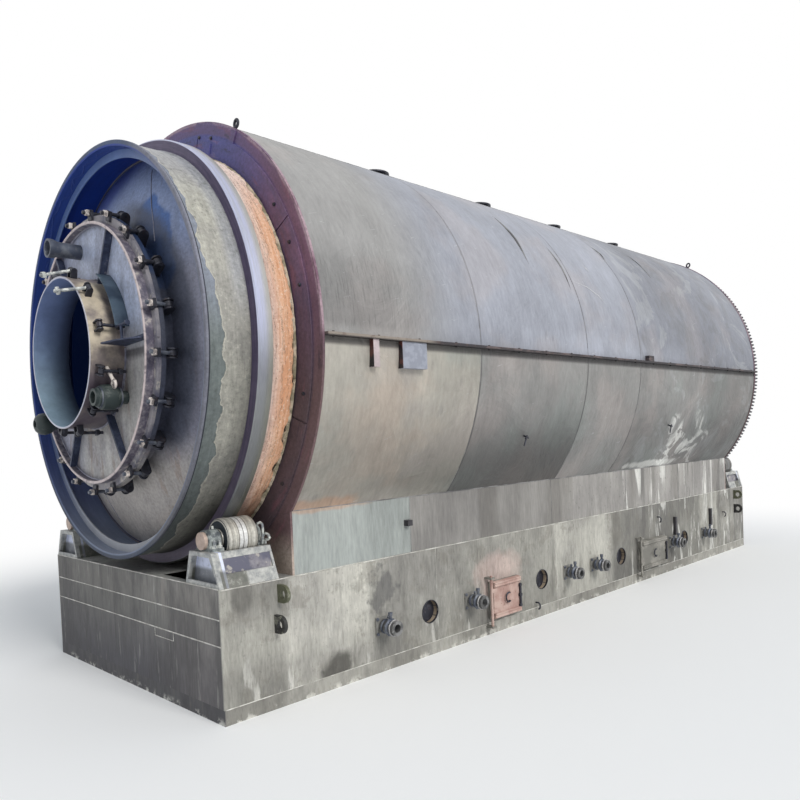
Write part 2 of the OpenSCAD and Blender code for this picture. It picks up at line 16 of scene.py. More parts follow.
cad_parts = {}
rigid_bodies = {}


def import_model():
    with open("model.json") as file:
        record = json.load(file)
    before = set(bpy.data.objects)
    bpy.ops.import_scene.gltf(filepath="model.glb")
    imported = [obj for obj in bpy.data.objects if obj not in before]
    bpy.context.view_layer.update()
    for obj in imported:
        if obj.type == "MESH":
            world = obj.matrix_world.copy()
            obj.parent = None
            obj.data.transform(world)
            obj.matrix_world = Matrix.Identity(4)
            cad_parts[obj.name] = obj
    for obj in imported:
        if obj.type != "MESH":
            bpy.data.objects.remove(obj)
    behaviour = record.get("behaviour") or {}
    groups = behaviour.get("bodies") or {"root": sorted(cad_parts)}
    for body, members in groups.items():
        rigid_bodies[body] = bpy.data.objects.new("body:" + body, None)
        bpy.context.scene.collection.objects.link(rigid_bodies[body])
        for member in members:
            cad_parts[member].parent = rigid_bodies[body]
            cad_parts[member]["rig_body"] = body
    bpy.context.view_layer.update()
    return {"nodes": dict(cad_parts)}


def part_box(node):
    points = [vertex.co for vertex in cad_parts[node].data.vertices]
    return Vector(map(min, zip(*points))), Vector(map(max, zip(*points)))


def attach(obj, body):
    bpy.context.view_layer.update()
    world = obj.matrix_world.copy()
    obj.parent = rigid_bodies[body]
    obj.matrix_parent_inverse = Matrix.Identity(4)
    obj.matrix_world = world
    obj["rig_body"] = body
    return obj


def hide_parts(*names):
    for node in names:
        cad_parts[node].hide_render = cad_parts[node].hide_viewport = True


bl_info = {
    "name": "Rotary Pyrolysis Reactor Looks",
    "version": (1, 0, 0),
    "blender": (4, 5, 0),
    "location": "3D View > Sidebar > Reactor",
    "description": "Finishes, seams, bolts and fittings for a rotary drum reactor on its furnace base",
    "category": "Add Mesh",
}

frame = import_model()


# ---- places taken from the model ----


def low(node, axis):
    """The lowest coordinate of a node along x, y or z."""
    return getattr(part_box(node)[0], axis)


def high(node, axis):
    """The highest coordinate of a node along x, y or z."""
    return getattr(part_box(node)[1], axis)


def radii(node):
    """The distances of a node's points from the drum axis."""
    return [math.hypot(v.co.x, v.co.z - AXIS_Z) for v in frame["nodes"][node].data.vertices]


FRONT = low("base_frame", "y")
REAR = high("base_frame", "y")
HALF_W = high("base_frame", "x")
LENGTH = REAR - FRONT
SKIRT_TOP = high("base_frame", "z")
DECK_Z = high("decks", "z")
WALL_TOP = high("upper_walls", "z")
RING_R = (high("riding_rings", "z") - low("riding_rings", "z")) / 2
AXIS_Z = high("riding_rings", "z") - RING_R
CASING_R = high("casing_crown", "z") - AXIS_Z
SPLIT_Z = (high("split_flanges", "z") + low("split_flanges", "z")) / 2
SPLIT_X = high("split_flanges", "x")
RIM_R = high("drum_rim", "x")
FLANGE_R = high("door_flange", "x")
COVER_R = FLANGE_R - 0.045  # outside of the cover's rim, inside its own flange
NECK_R = high("feed_neck", "x")
OUTLET_R = high("gas_outlet", "x")


def station(y):
    """The station of a place along the machine."""
    return y - FRONT


def stations(node):
    """The first and last station of a node."""
    return station(low(node, "y")), station(high(node, "y"))


SHELL_S = stations("casing_crown")
PLATE_S = stations("end_plates")
COVER_RING_S = stations("cover_rings")
RING_S = stations("riding_rings")
RIM_S = stations("drum_rim")
DOOR_S = station(low("door_flange", "y"))
COVER_S = station(low("door_cover", "y"))
NECK_S = station(low("feed_neck", "y"))
OUTLET_S = station(high("gas_outlet", "y"))
RING_W = 0.1  # width of a riding ring
THROAT_R = min(radii("door_flange"))
PLATE_HOLE_R = min(radii("cover_rings"))
HOOP_R = min(radii("drum_rim"))
DISH_R = 2.8  # the heads are dished to this radius
EYE_ANGLE = 60.0  # where the lifting eyes stand, round the drum axis
EYE_TOP = max(radii("lifting_eyes"))


def dish_station(r):
    """The station of the front head's face at a radius."""
    centre = station(low("drum_head", "y")) + math.sqrt(DISH_R ** 2 - THROAT_R ** 2)
    return centre - math.sqrt(DISH_R ** 2 - r ** 2)


def moved(x, y, z):
    """A shift along a placement's own axes."""
    return Matrix.Translation((x, y, z))


def at(x, s, z):
    """A placement at x, station s and height z."""
    return moved(x, FRONT + s, z)


def turned_to(angle, s, r=0.0):
    """A placement at an angle round the drum axis: its X points outward and its Y along the machine."""
    turn = Matrix.Rotation(-math.radians(angle), 4, "Y")
    return at(0, s, AXIS_Z) @ turn @ moved(r, 0, 0)


ALONG = Matrix.Rotation(-math.pi / 2, 4, "X")  # turns a shape's own Z to the machine's +Y
FORWARD = Matrix.Rotation(math.pi / 2, 4, "X")  # turns a shape's own Z to -Y, towards the charging door
OUT = Matrix.Rotation(math.pi / 2, 4, "Y")  # turns a shape's own Z to +X
MIRROR = Matrix.Scale(-1, 4, (1, 0, 0))  # the other flank
BOTH = (Matrix(), MIRROR)  # the right flank and the left


def on_axis(s=0.0):
    """A placement on the drum axis at a station, its own Z towards the rear."""
    return at(0, s, AXIS_Z) @ ALONG


def fan(start, end, steps):
    """The cosine and sine of angles in degrees, evenly from start to end."""
    turn = [math.radians(start + (end - start) * k / steps) for k in range(steps + 1)]
    return [(math.cos(a), math.sin(a)) for a in turn]


# ---- meshes ----


class Mould:
    """The points and faces of one piece, gathered shape by shape."""

    def __init__(self):
        self.points = []
        self.faces = []

    def add(self, points, faces, place=Matrix()):
        first = len(self.points)
        self.points.extend(place @ Vector(p) for p in points)
        self.faces.extend([first + i for i in face] for face in faces)

    def prism(self, outline, z0, z1, place=Matrix()):
        """An outline in the placement's XY plane, drawn out from z0 to z1."""
        n = len(outline)
        points = [(x, y, z) for z in (z0, z1) for x, y in outline]
        faces = [[i, (i + 1) % n, n + (i + 1) % n, n + i] for i in range(n)]
        faces += [list(range(n))[::-1], [n + i for i in range(n)]]
        self.add(points, faces, place)

    def box(self, x0, x1, y0, y1, z0, z1, place=Matrix()):
        self.prism([(x0, y0), (x1, y0), (x1, y1), (x0, y1)], z0, z1, place)

    def turned(self, profile, place=Matrix(), start=0.0, sweep=360.0, steps=96):
        """A closed profile of (radius, z) points, turned about the placement's Z."""
        whole = sweep >= 360
        rows = steps if whole else steps + 1
        n = len(profile)
        points = []
        for i in range(rows):
            a = math.radians(start + sweep * i / steps)
            points += [(r * math.cos(a), r * math.sin(a), z) for r, z in profile]
        faces = []
        for i in range(steps):
            j = (i + 1) % rows
            for k in range(n):
                m = (k + 1) % n
                faces.append([i * n + k, j * n + k, j * n + m, i * n + m])
        if not whole:
            faces += [list(range(n)), [(rows - 1) * n + k for k in range(n)][::-1]]
        self.add(points, faces, place)

    def rod(self, r, length, place=Matrix(), sides=20, chamfer=0.0, bore=0.0):
        """A round bar along the placement's Z, or a pipe if it has a bore."""
        c = chamfer
        if bore:
            profile = [(bore, 0), (r - c, 0), (r, c), (r, length - c), (r - c, length), (bore, length)]
            self.turned(profile, place, steps=sides)
            return
        rings = [(r - c, 0), (r, c), (r, length - c), (r - c, length)] if c else [(r, 0), (r, length)]
        points = []
        for radius, z in rings:
            turn = [2 * math.pi * i / sides for i in range(sides)]
            points += [(radius * math.cos(a), radius * math.sin(a), z) for a in turn]
        faces = [list(range(sides))[::-1], [len(points) - sides + i for i in range(sides)]]
        for k in range(len(rings) - 1):
            for i in range(sides):
                j = (i + 1) % sides
                faces.append([k * sides + i, k * sides + j, (k + 1) * sides + j, (k + 1) * sides + i])
        self.add(points, faces, place)

    def polygon_bar(self, corners, across, length, place=Matrix(), chamfer=0.1):
        """A nut or bolt head: a bar with flats, its end corners turned off."""
        r = across / 2 / math.cos(math.pi / corners)
        self.rod(r, length, place @ Matrix.Rotation(math.pi / corners, 4, "Z"), corners, chamfer * across)

    def bolt(self, size, place, length=None, corners=6):
        """A washer, a head and, where a length is given, the end of the thread through it."""
        self.rod(1.05 * size, 0.18 * size, place, 16)
        self.polygon_bar(corners, 1.6 * size, 0.85 * size, place)
        if length:
            self.rod(size / 2, length, place, 12, 0.08 * size)

    def swept(self, path, r, sides=8, squash=1.0, closed=False):
        """A round bar along a path. r is a radius, or a function of the share of the path gone."""
        path = [Vector(p) for p in path]
        n = len(path)
        side = None
        points = []
        for i, p in enumerate(path):
            if closed:
                along = (path[(i + 1) % n] - path[i - 1]).normalized()
            else:
                along = (path[min(i + 1, n - 1)] - path[max(i - 1, 0)]).normalized()
            if side is None:
                other = Vector((0, 0, 1)) if abs(along.z) < 0.9 else Vector((1, 0, 0))
                side = along.cross(other).normalized()
            side = (side - along * side.dot(along)).normalized()
            up = along.cross(side)
            radius = r(i / (n - 1)) if callable(r) else r
            for k in range(sides):
                a = 2 * math.pi * k / sides
                points.append(p + side * (radius * math.cos(a)) + up * (radius * squash * math.sin(a)))
        faces = []
        for i in range(n if closed else n - 1):
            j = (i + 1) % n
            for k in range(sides):
                m = (k + 1) % sides
                faces.append([i * sides + k, i * sides + m, j * sides + m, j * sides + k])
        if not closed:
            faces += [list(range(sides))[::-1], [(n - 1) * sides + k for k in range(sides)]]
        self.add(points, faces)

    def bead(self, path, r, closed=False):
        """A weld bead: a low bar along a path whose width ripples."""
        ripple = lambda t: r * (0.8 + 0.4 * noise.noise((t * len(path) * 0.9, r * 900, 0.5)))
        self.swept(path, ripple, 6, closed=closed)


def arc(r, s, start, end, steps=40):
    """Points on a circle round the drum axis at station s, from one angle to another."""
    return [(r * cos, FRONT + s, AXIS_Z + r * sin) for cos, sin in fan(start, end, steps)]


def oblong(r0, r1, z0, z1):
    """A rectangular profile of (radius, z) points."""
    return [(r0, z0), (r1, z0), (r1, z1), (r0, z1)]


def line(start, end, steps=2):
    """Points on a straight line from start to end."""
    start, end = Vector(start), Vector(end)
    return [start.lerp(end, i / steps) for i in range(steps + 1)]


def placed(name, data):
    """A new object of the scene that shows the data."""
    thing = bpy.data.objects.new(name, data)
    bpy.context.scene.collection.objects.link(thing)
    return thing


def make(name, mould, body, coat, bevel=0.0, smooth=35):
    """Turns a mould into a piece with the finish named coat, which moves with a body."""
    mesh = bpy.data.meshes.new(name)
    mesh.from_pydata([tuple(p) for p in mould.points], [], mould.faces)
    work = bmesh.new()
    work.from_mesh(mesh)
    bmesh.ops.remove_doubles(work, verts=work.verts, dist=1e-6)
    bmesh.ops.recalc_face_normals(work, faces=work.faces)
    work.to_mesh(mesh)
    work.free()
    mesh.shade_smooth()
    mesh.set_sharp_from_angle(angle=math.radians(smooth))
    mesh.materials.append(finish(coat))
    piece = placed(name, mesh)
    if bevel:
        edge = piece.modifiers.new("edges", "BEVEL")
        edge.width = bevel
        edge.segments = 2
        edge.limit_method = "ANGLE"
        edge.angle_limit = math.radians(40)
    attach(piece, body)
    return piece


def turn_on_axis(name, profile, steps, coat):
    """Makes a piece of the drum by turning a profile of radii and stations round the drum axis."""
    mould = Mould()
    mould.turned(profile, on_axis(), steps=steps)
    make(name, mould, "drum", coat)


def dress(nodes, coat, smooth=30):
    """Gives model nodes the finish named coat, and smooth shading where faces meet at a low angle."""
    for node in nodes:
        piece = frame["nodes"][node]
        piece.data.materials.clear()
        piece.data.materials.append(finish(coat))
        piece.data.shade_smooth()
        piece.data.set_sharp_from_angle(angle=math.radians(smooth))


# ---- finishes ----


def tone(red, green, blue):
    """A colour from screen values of 0 to 255, as the linear values that a shader takes."""
    channels = [c / 255 for c in (red, green, blue)]
    return (*[c / 12.92 if c <= 0.04045 else ((c + 0.055) / 1.055) ** 2.4 for c in channels], 1.0)


class Wire:
    """A socket of a graph. Python's operators on it add Math nodes."""

    def __init__(self, graph, socket):
        self.graph = graph
        self.socket = socket

    def math(self, operation, *values):
        return self.graph.node("ShaderNodeMath", {"operation": operation}, dict(enumerate(values)))

    def __add__(self, other):
        return self.math("ADD", self, other)

    def __radd__(self, other):
        return self.math("ADD", other, self)

    def __sub__(self, other):
        return self.math("SUBTRACT", self, other)

    def __rsub__(self, other):
        return self.math("SUBTRACT", other, self)

    def __mul__(self, other):
        return self.math("MULTIPLY", self, other)

    def __rmul__(self, other):
        return self.math("MULTIPLY", other, self)

    def __truediv__(self, other):
        return self.math("DIVIDE", self, other)

    def __pow__(self, other):
        return self.math("POWER", self, other)

    def size(self):
        return self.math("ABSOLUTE", self)

    def ramp(self, start, end):
        """0 below start and 1 above end, smooth between them. start may be the higher one."""
        values = {"Value": self, "From Min": start, "From Max": end}
        return self.graph.node("ShaderNodeMapRange", {"interpolation_type": "SMOOTHSTEP"}, values)


class Graph:
    """The node tree of a material or a world."""

    def __init__(self, owner):
        owner.use_nodes = True
        self.owner = owner
        self.tree = owner.node_tree
        self.tree.nodes.clear()

    def node(self, kind, settings, values, output=0):
        """Adds a node: its settings, then the values, colours or wires of its sockets."""
        made = self.tree.nodes.new(kind)
        for key, value in settings.items():
            setattr(made, key, value)
        for key, value in values.items():
            if isinstance(value, Wire):
                self.tree.links.new(value.socket, made.inputs[key])
            elif isinstance(value, tuple) and len(value) == 3:
                made.inputs[key].default_value = tone(*value)
            else:
                made.inputs[key].default_value = value
        return Wire(self, made.outputs[output]) if made.outputs else None

    def seen(self):
        """1 where the camera looks, straight or by way of a mirror or glass, and 0 for other light."""
        outputs = self.node("ShaderNodeLightPath", {}, {}).socket.node.outputs
        kinds = ("Camera", "Glossy", "Transmission")
        camera, glossy, through = (Wire(self, outputs[f"Is {kind} Ray"]) for kind in kinds)
        either = camera.math("MAXIMUM", camera, glossy)
        return either.math("MAXIMUM", either, through)


class Finish(Graph):
    """A procedural material, built from expressions on the place of each point.

    Colours are wires, or screen values of red, green and blue from 0 to 255.
    """

    def __init__(self, name):
        super().__init__(bpy.data.materials.new(name))
        self.place = self.node("ShaderNodeTexCoord", {}, {}, "Object")
        split = self.node("ShaderNodeSeparateXYZ", {}, {0: self.place})
        self.x, self.y, self.z = (Wire(self, split.socket.node.outputs[i]) for i in range(3))
        self.s = self.y - FRONT
        self.rise = self.z - AXIS_Z

    def vector(self, x, y, z):
        return self.node("ShaderNodeCombineXYZ", {}, {0: x, 1: y, 2: z})

    def round_drum(self):
        """The angle round the drum axis, in radians, and the distance from that axis."""
        angle = self.rise.math("ARCTAN2", self.rise, self.x)
        radius = (self.x * self.x + self.rise * self.rise) ** 0.5
        return angle, radius

    def grain(self, scale, detail=4.0, rough=0.55, at=None, warp=0.0):
        """Noise of about 0.25 to 0.75, with the given number of waves a metre."""
        values = {"Vector": at or self.place, "Scale": scale, "Detail": detail}
        values.update({"Roughness": rough, "Distortion": warp})
        return self.node("ShaderNodeTexNoise", {}, values)

    def cells(self, scale, at):
        """Distance to the nearest point of a random scatter."""
        return self.node("ShaderNodeTexVoronoi", {"feature": "F1"}, {"Vector": at, "Scale": scale})

    def mix(self, share, first, second):
        """The first colour, and the second where share is 1."""
        values = {0: share, 6: first, 7: second}  # sockets of the factor and of the two colours
        return self.node("ShaderNodeMix", {"data_type": "RGBA"}, values, 2)

    def over(self, colour, *coats):
        """Lays coats on a colour, each a mask and the tone that shows there."""
        for mask, coat in coats:
            colour = self.mix(mask, colour, coat)
        return colour

    def shade(self, colour, amount):
        """The colour, brightened where amount is over 1 and darkened under it."""
        values = {0: 1.0, 6: colour, 7: self.vector(amount, amount, amount)}
        return self.node("ShaderNodeMix", {"data_type": "RGBA", "blend_type": "MULTIPLY"}, values, 2)

    def steps(self, along, first, *changes, blur=0.02):
        """A value that is first at the start and changes at each (place, value) on the way along."""
        total, last = first, first
        for place, value in changes:
            total = total + along.ramp(place - blur, place + blur) * (value - last)
            last = value
        return total

    def within(self, across, up, corners, blur=0.02):
        """1 inside a convex outline whose corners run clockwise, 0 outside."""
        mask = 1.0
        for (x0, y0), (x1, y1) in zip(corners, corners[1:] + corners[:1]):
            length = math.hypot(x1 - x0, y1 - y0)
            depth = (across - x0) * ((y1 - y0) / length) - (up - y0) * ((x1 - x0) / length)
            mask = depth.ramp(-blur, blur) * mask
        return mask

    def patch(self, centre, half, ragged=0.5, scale=6.0, edge=0.35):
        """A ragged spot: 1 inside an ellipse in station and height, 0 outside."""
        (s, z), (half_s, half_z) = centre, half
        across = (self.s - s) / half_s
        up = (self.z - z) / half_z
        reach = (across * across + up * up) ** 0.5 + (self.grain(scale) - 0.5) * (4 * ragged)
        return reach.ramp(1.0 + edge, 1.0 - edge)

    def bump(self, height, distance):
        return self.node("ShaderNodeBump", {}, {"Height": height, "Distance": distance, "Strength": 1.0})

    def done(self, colour, rough, metal=0.0, normal=None, **constants):
        """Ends the finish: the colour, roughness and normal may vary, the rest are constants."""
        values = {"Base Color": colour, "Roughness": rough, "Metallic": metal}
        values.update({key.replace("_", " ").title(): value for key, value in constants.items()})
        if normal is not None:
            values["Normal"] = normal
        shader = self.node("ShaderNodeBsdfPrincipled", {}, values)
        self.node("ShaderNodeOutputMaterial", {}, {"Surface": shader})
        return self.owner


made_finishes = {}


def finish(name):
    """The finish of that name, made the first time that a piece asks for it."""
    if name not in made_finishes:
        made_finishes[name] = RECIPES[name](Finish(name))
    return made_finishes[name]


# Each recipe below takes a new Finish and returns its material.

SHEETS = (1.905, 3.302, 4.212)  # stations of the joints between the casing's sheets


def casing_steel(f):
    """Bare rolled sheets: blue-grey above, warm in front, painted shade and stains low down, scratched, spilt
    lime.
    """
    angle, _ = f.round_drum()
    flow = f.vector(angle * 0.5, f.s, 0.0)
    clouds = f.grain(0.8, 5)
    tints = f.grain(1.5, 4, 0.5)
    swirls = f.grain(1.7, 5, 0.6, warp=1.6)
    streaks = f.grain(7.0, 6, 0.65, at=flow)
    fine = f.grain(38.0, 4, 0.7, at=flow)
    above = f.rise.ramp(-0.03, 0.0)
    first = f.s.ramp(1.915, 1.90)
    second = f.s.ramp(1.90, 1.915) * f.s.ramp(3.31, 3.295)
    third = f.s.ramp(3.295, 3.31) * f.s.ramp(4.22, 4.205)
    rear = f.s.ramp(4.205, 4.22)
    crown = f.mix(f.s.ramp(1.1, 1.8), (149, 148, 147), (149, 152, 162))
    crown = f.shade(crown, 1.0 - f.s.ramp(3.9, 4.9) * 0.20)
    sides = f.mix(first, (143, 142, 140), (168, 164, 155))
    colour = f.mix(above, sides, crown)
    warm = f.patch((0.95, 1.62), (0.42, 0.30), 0.9, 3.0, 0.6)
    rust = f.patch((0.72, 1.165), (0.34, 0.05), 0.5, 5.0)
    spill = f.grain(3.2, 4, 0.6, warp=1.4).ramp(0.47, 0.56) * f.patch((5.5, 1.40), (0.45, 0.24), 0.7, 4.0)
    lime = spill + f.patch((5.0, 1.20), (0.5, 0.035), 0.5, 9.0)
    slant = f.vector(f.s * 0.7 + angle * 3, angle * 14 - f.s * 3, 0.0)
    scratches = f.grain(3.0, 3, 0.9, at=slant).ramp(0.66, 0.7)
    run_off = f.grain(16.0, 3, at=flow).ramp(0.6, 0.72) * f.grain(1.3).ramp(0.5, 0.6)
    front_shade = f.rise.ramp(0.66, 0.3) * f.rise.ramp(0.0, 0.08) * f.s.ramp(1.7, 0.8)
    seams = 0.0
    for s in SHEETS:
        seams = (f.s - s).size().ramp(0.010, 0.006) + seams
    hatch = f.grain(30.0, 3, 0.6, at=f.vector(angle * 0.3, f.s * 3, 0.0))
    colour = f.over(
        colour,
        (tints.ramp(0.5, 0.64) * (0.35 - above * 0.10), (165, 154, 150)),
        (tints.ramp(0.48, 0.36) * (1 - above) * 0.35, (148, 158, 154)),
        (warm * 0.3, (190, 162, 144)),
        (swirls.ramp(0.52, 0.60) * rear * 0.3, (112, 112, 112)),
        (swirls.ramp(0.44, 0.38) * rear * 0.3, (184, 186, 188)),
        (hatch.ramp(0.54, 0.64) * front_shade * 0.4, (98, 98, 97)),
        (rust * 0.5, (190, 144, 112)),
        (lime * 0.75, (216, 216, 212)),
        (run_off * 0.3, (110, 110, 112)),
        (scratches * 0.35, (200, 200, 204)),
        (seams * (0.75 - above * 0.4), (74, 73, 74)),
        # A painted shadow on the casing just under the split flange.
        (f.z.ramp(SPLIT_Z - 0.065, SPLIT_Z - 0.04) * (1 - above) * 0.75, (50, 47, 49)),
    )
    # Painted shade: each sheet is darker low down, with dark stains mixed in on the second sheet.
    foot = f.z.ramp(1.85, 1.25)
    low_front = first * foot * (f.z.ramp(1.14, 1.28) * 0.20 + f.s.ramp(0.7, 1.9) * 0.34)
    low_second = second * f.z.ramp(1.90, 1.32) * 0.64 - second * f.z.ramp(1.9, 2.05) * 0.06
    low_third = third * foot * 0.12 - third * f.z.ramp(1.6, 2.0) * 0.07
    dark_rear_end = f.s.ramp(5.2, 6.2) * (1 - above) * 0.24
    low_rear = rear * (f.z.ramp(1.9, 1.45) * 0.26 + dark_rear_end - lime * 0.2)
    strip = f.rise.ramp(0.25, 0.08) * above * f.s.ramp(1.9, 3.2) * f.s.ramp(5.6, 4.9)
    depth = 1.0 - low_front - low_second - low_third - low_rear - front_shade * 0.34 + strip * 0.2
    colour = f.shade(colour, (streaks * 0.6 + fine * 0.5 + clouds * 1.0 - 0.05) * depth)
    dents = f.grain(1.1, 2)
    normal = f.bump(dents * 1.0 + swirls * 0.5 + fine * 0.02, 0.05)
    return f.done(colour, streaks * 0.25 + 0.42, 0.25, normal)


def wall_steel(f):
    """Bare plate of the upper walls: greenish grey by the front, dirtier towards the rear."""
    flow = f.vector(f.s, f.x, f.z * 0.14)
    clouds = f.grain(1.6, 6)
    streaks = f.grain(9.0, 5, 0.65, at=flow)
    fine = f.grain(60.0, 4, 0.7, at=flow)
    front = f.s.ramp(1.53, 1.5)
    colour = f.mix(clouds.ramp(0.4, 0.6), (142, 139, 136), (158, 155, 151))
    colour = f.mix(front, colour, (156, 161, 158))
    dirt = f.grain(2.6, 5, at=flow).ramp(0.5, 0.62)
    lime = f.grain(4.5, 5, 0.65, at=flow, warp=1.2).ramp(0.55, 0.62) * f.s.ramp(3.4, 4.6)
    chips = f.grain(26.0, 4, 0.7).ramp(0.6, 0.68) * f.s.ramp(3.2, 3.6)
    rust = f.patch((0.65, 1.165), (0.5, 0.03), 0.4)
    colour = f.over(
        colour,
        (dirt * (1 - front) * 0.4, (104, 100, 94)),
        (lime * 0.8, (218, 217, 212)),
        (f.grain(6.0, 5, 0.65, at=flow).ramp(0.54, 0.62) * f.s.ramp(4.3, 5.0) * 0.6, (96, 94, 92)),
        (chips * 0.5, (98, 96, 92)),
        (rust * 0.5, (180, 140, 112)),
    )
    panel = f.steps(f.s, 1.0, (1.1, 0.9), (1.515, 0.76), (2.4, 0.68), (2.85, 0.76), (3.4, 1.0))
    colour = f.shade(colour, (streaks * 0.9 + fine * 0.8 + 0.15) * panel)
    return f.done(colour, streaks * 0.2 + 0.55, 0.1, f.bump(fine * 0.1 + f.grain(2.5, 2), 0.012))


def flank_steel(f):
    """The base's side plates, each its own grey, stained by soot, lime, heat and rain."""
    flow = f.vector(f.s, f.x, f.z * 0.2)
    clouds = f.grain(1.4, 6)
    streaks = f.grain(8.0, 5, 0.65, at=flow)
    fine = f.grain(55.0, 4, 0.7, at=flow)
    colour = f.mix(clouds.ramp(0.36, 0.62), (138, 136, 131), (170, 168, 160))
    blotches = f.grain(4.5, 6, 0.7).ramp(0.52, 0.62)
    drips = f.grain(10.0, 4, 0.6, at=flow).ramp(0.56, 0.66) * f.grain(1.1).ramp(0.42, 0.6)
    lime = f.grain(12.0, 4, 0.6, at=flow).ramp(0.58, 0.68) * f.z.ramp(0.6, 0.0)
    chips = f.grain(34.0, 4, 0.7).ramp(0.6, 0.68)
    soot = f.patch((0.815, 0.125), (0.12, 0.10), 0.35, 9.0)
    dark_patch = f.patch((0.145, 0.70), (0.07, 0.09), 0.12, 9.0)
    heat = f.patch((2.52, 0.46), (0.30, 0.16), 0.5, 4.0)
    splash = f.patch((1.22, 0.56), (0.12, 0.12), 0.9, 12.0)
    rear_lime = f.grain(4.5, 5, 0.65, at=flow, warp=1.2).ramp(0.55, 0.61) * f.s.ramp(4.7, 5.3)
    rear_soot = f.grain(6.0, 5, 0.65, at=flow).ramp(0.53, 0.60) * f.s.ramp(4.5, 5.0)
    panel = f.steps(
        f.s + (clouds - 0.5) * 0.3, 0.84,
        (0.42, 1.36), (1.12, 0.92), (1.9, 0.80), (3.3, 1.12), (4.25, 0.62), (5.3, 0.56), (6.25, 0.90),
        blur=0.04,
    )
    colour = f.shade(colour, panel * (1.0 - f.z.ramp(0.40, 0.22) * 0.2))
    colour = f.over(
        colour,
        (blotches * 0.4, (112, 108, 100)),
        (drips * 0.5, (98, 96, 90)),
        (splash * 0.75, (98, 97, 96)),
        (dark_patch * 0.7, (92, 90, 86)),
        (heat * 0.5, (204, 178, 170)),
        (rear_soot * 0.5, (88, 86, 84)),
        (rear_lime * 0.75, (214, 213, 208)),
        (lime * 0.6, (218, 216, 210)),
        (chips * 0.35, (96, 94, 88)),
        (soot * 0.85, (62, 60, 56)),
    )
    colour = f.shade(colour, streaks * 1.0 + fine * 1.1 - 0.05)
    return f.done(colour, streaks * 0.2 + 0.6, 0.05, f.bump(fine * 0.12 + f.grain(2.2, 2), 0.014))


def base_steel(f):
    """The decks, grey, and the base's end walls, dark and mauve low down with long rain streaks."""
    flow = f.vector(f.x, f.s, f.z * 0.12)
    clouds = f.grain(1.5, 5)
    streaks = f.grain(12.0, 5, 0.7, at=flow)
    fine = f.grain(60.0, 4, 0.7, at=flow)
    end = f.y.size().ramp(LENGTH / 2 - 0.006, LENGTH / 2 - 0.002)
    decks = f.mix(clouds.ramp(0.38, 0.62), (138, 138, 138), (160, 160, 156))
    walls = f.mix(f.z.ramp(0.08, 0.74), (78, 77, 82), (122, 120, 116))
    walls = f.over(
        walls,
        (f.z.ramp(0.60, 0.596) * f.z.ramp(0.445, 0.449) * 0.25, (98, 100, 96)),
        (f.x.ramp(0.35, 0.9) * 0.25, (136, 130, 126)),
        (f.grain(2.6, 5, 0.6, at=f.vector(f.x, f.s, f.z * 0.5)).ramp(0.46, 0.6) * 0.6, (70, 68, 70)),
    )
    rust = f.grain(6.0, 4, at=flow).ramp(0.6, 0.72) * f.x.ramp(0.3, 1.1)
    dark = f.grain(14.0, 4, 0.7, at=flow).ramp(0.55, 0.66)
    pale = f.grain(20.0, 4, 0.7, at=flow).ramp(0.58, 0.68)
    colour = f.over(
        f.mix(end, decks, walls),
        (rust * 0.4, (140, 120, 104)),
        (dark * 0.5, (72, 70, 72)),
        (pale * 0.3, (176, 176, 170)),
    )
    left = end * f.x.ramp(0.2, -0.5) * 0.16
    colour = f.shade(colour, (streaks * 1.2 + fine * 1.0 + clouds * 0.6 - 0.4) * (1.0 - left))
    return f.done(colour, streaks * 0.25 + 0.5, 0.15, f.bump(fine * 0.1 + f.grain(2.0, 2), 0.012))


def pedestal_steel(f):
    """The roller pedestals: pale frame, mauve panel in their ends, a painted shadow under the roller on one
    flank.
    """
    inset = LENGTH / 2 - f.y.size()
    rub = f.grain(22.0, 5, 0.65)
    colour = f.mix(rub.ramp(0.4, 0.6), (158, 160, 160), (188, 188, 184))
    panel = inset.ramp(0.050, 0.052) * inset.ramp(0.070, 0.066)
    # A painted shadow, low on the pedestal's flank beneath the roller.
    dark_patch = inset.ramp(0.21, 0.19) * inset.ramp(0.030, 0.034)
    dark_patch = dark_patch * f.z.ramp(DECK_Z + 0.11, DECK_Z + 0.08)
    colour = f.over(
        colour,
        (panel, (224, 230, 252)),
        (dark_patch * 0.75, (82, 82, 70)),
        (rub.ramp(0.58, 0.66) * 0.25, (206, 206, 202)),
        (rub.ramp(0.42, 0.34) * 0.25, (112, 112, 114)),
    )
    return f.done(f.shade(colour, rub * 0.6 + 0.58), 0.55, 0.1, f.bump(rub, 0.002))


def skirt_steel(f):
    """The skirt channel, splashed pale along the ground, darker across the ends."""
    flow = f.vector(f.x, f.s, f.z * 0.3)
    streaks = f.grain(14.0, 5, 0.7, at=flow)
    splash = f.grain(9.0, 4, 0.7).ramp(0.5, 0.6) * f.z.ramp(0.05, 0.0)
    end = f.y.size().ramp(LENGTH / 2 - 0.006, LENGTH / 2 - 0.002)
    colour = f.mix(f.grain(2.0, 5).ramp(0.4, 0.6), (128, 126, 120), (158, 156, 149))
    colour = f.over(
        colour,
        (end * 0.9, (66, 65, 70)),
        (splash * 0.8, (214, 212, 204)),
        (streaks.ramp(0.54, 0.64) * 0.5, (84, 82, 76)),
    )
    return f.done(f.shade(colour, streaks * 1.6 + 0.2), 0.7, 0.0, f.bump(streaks, 0.003))


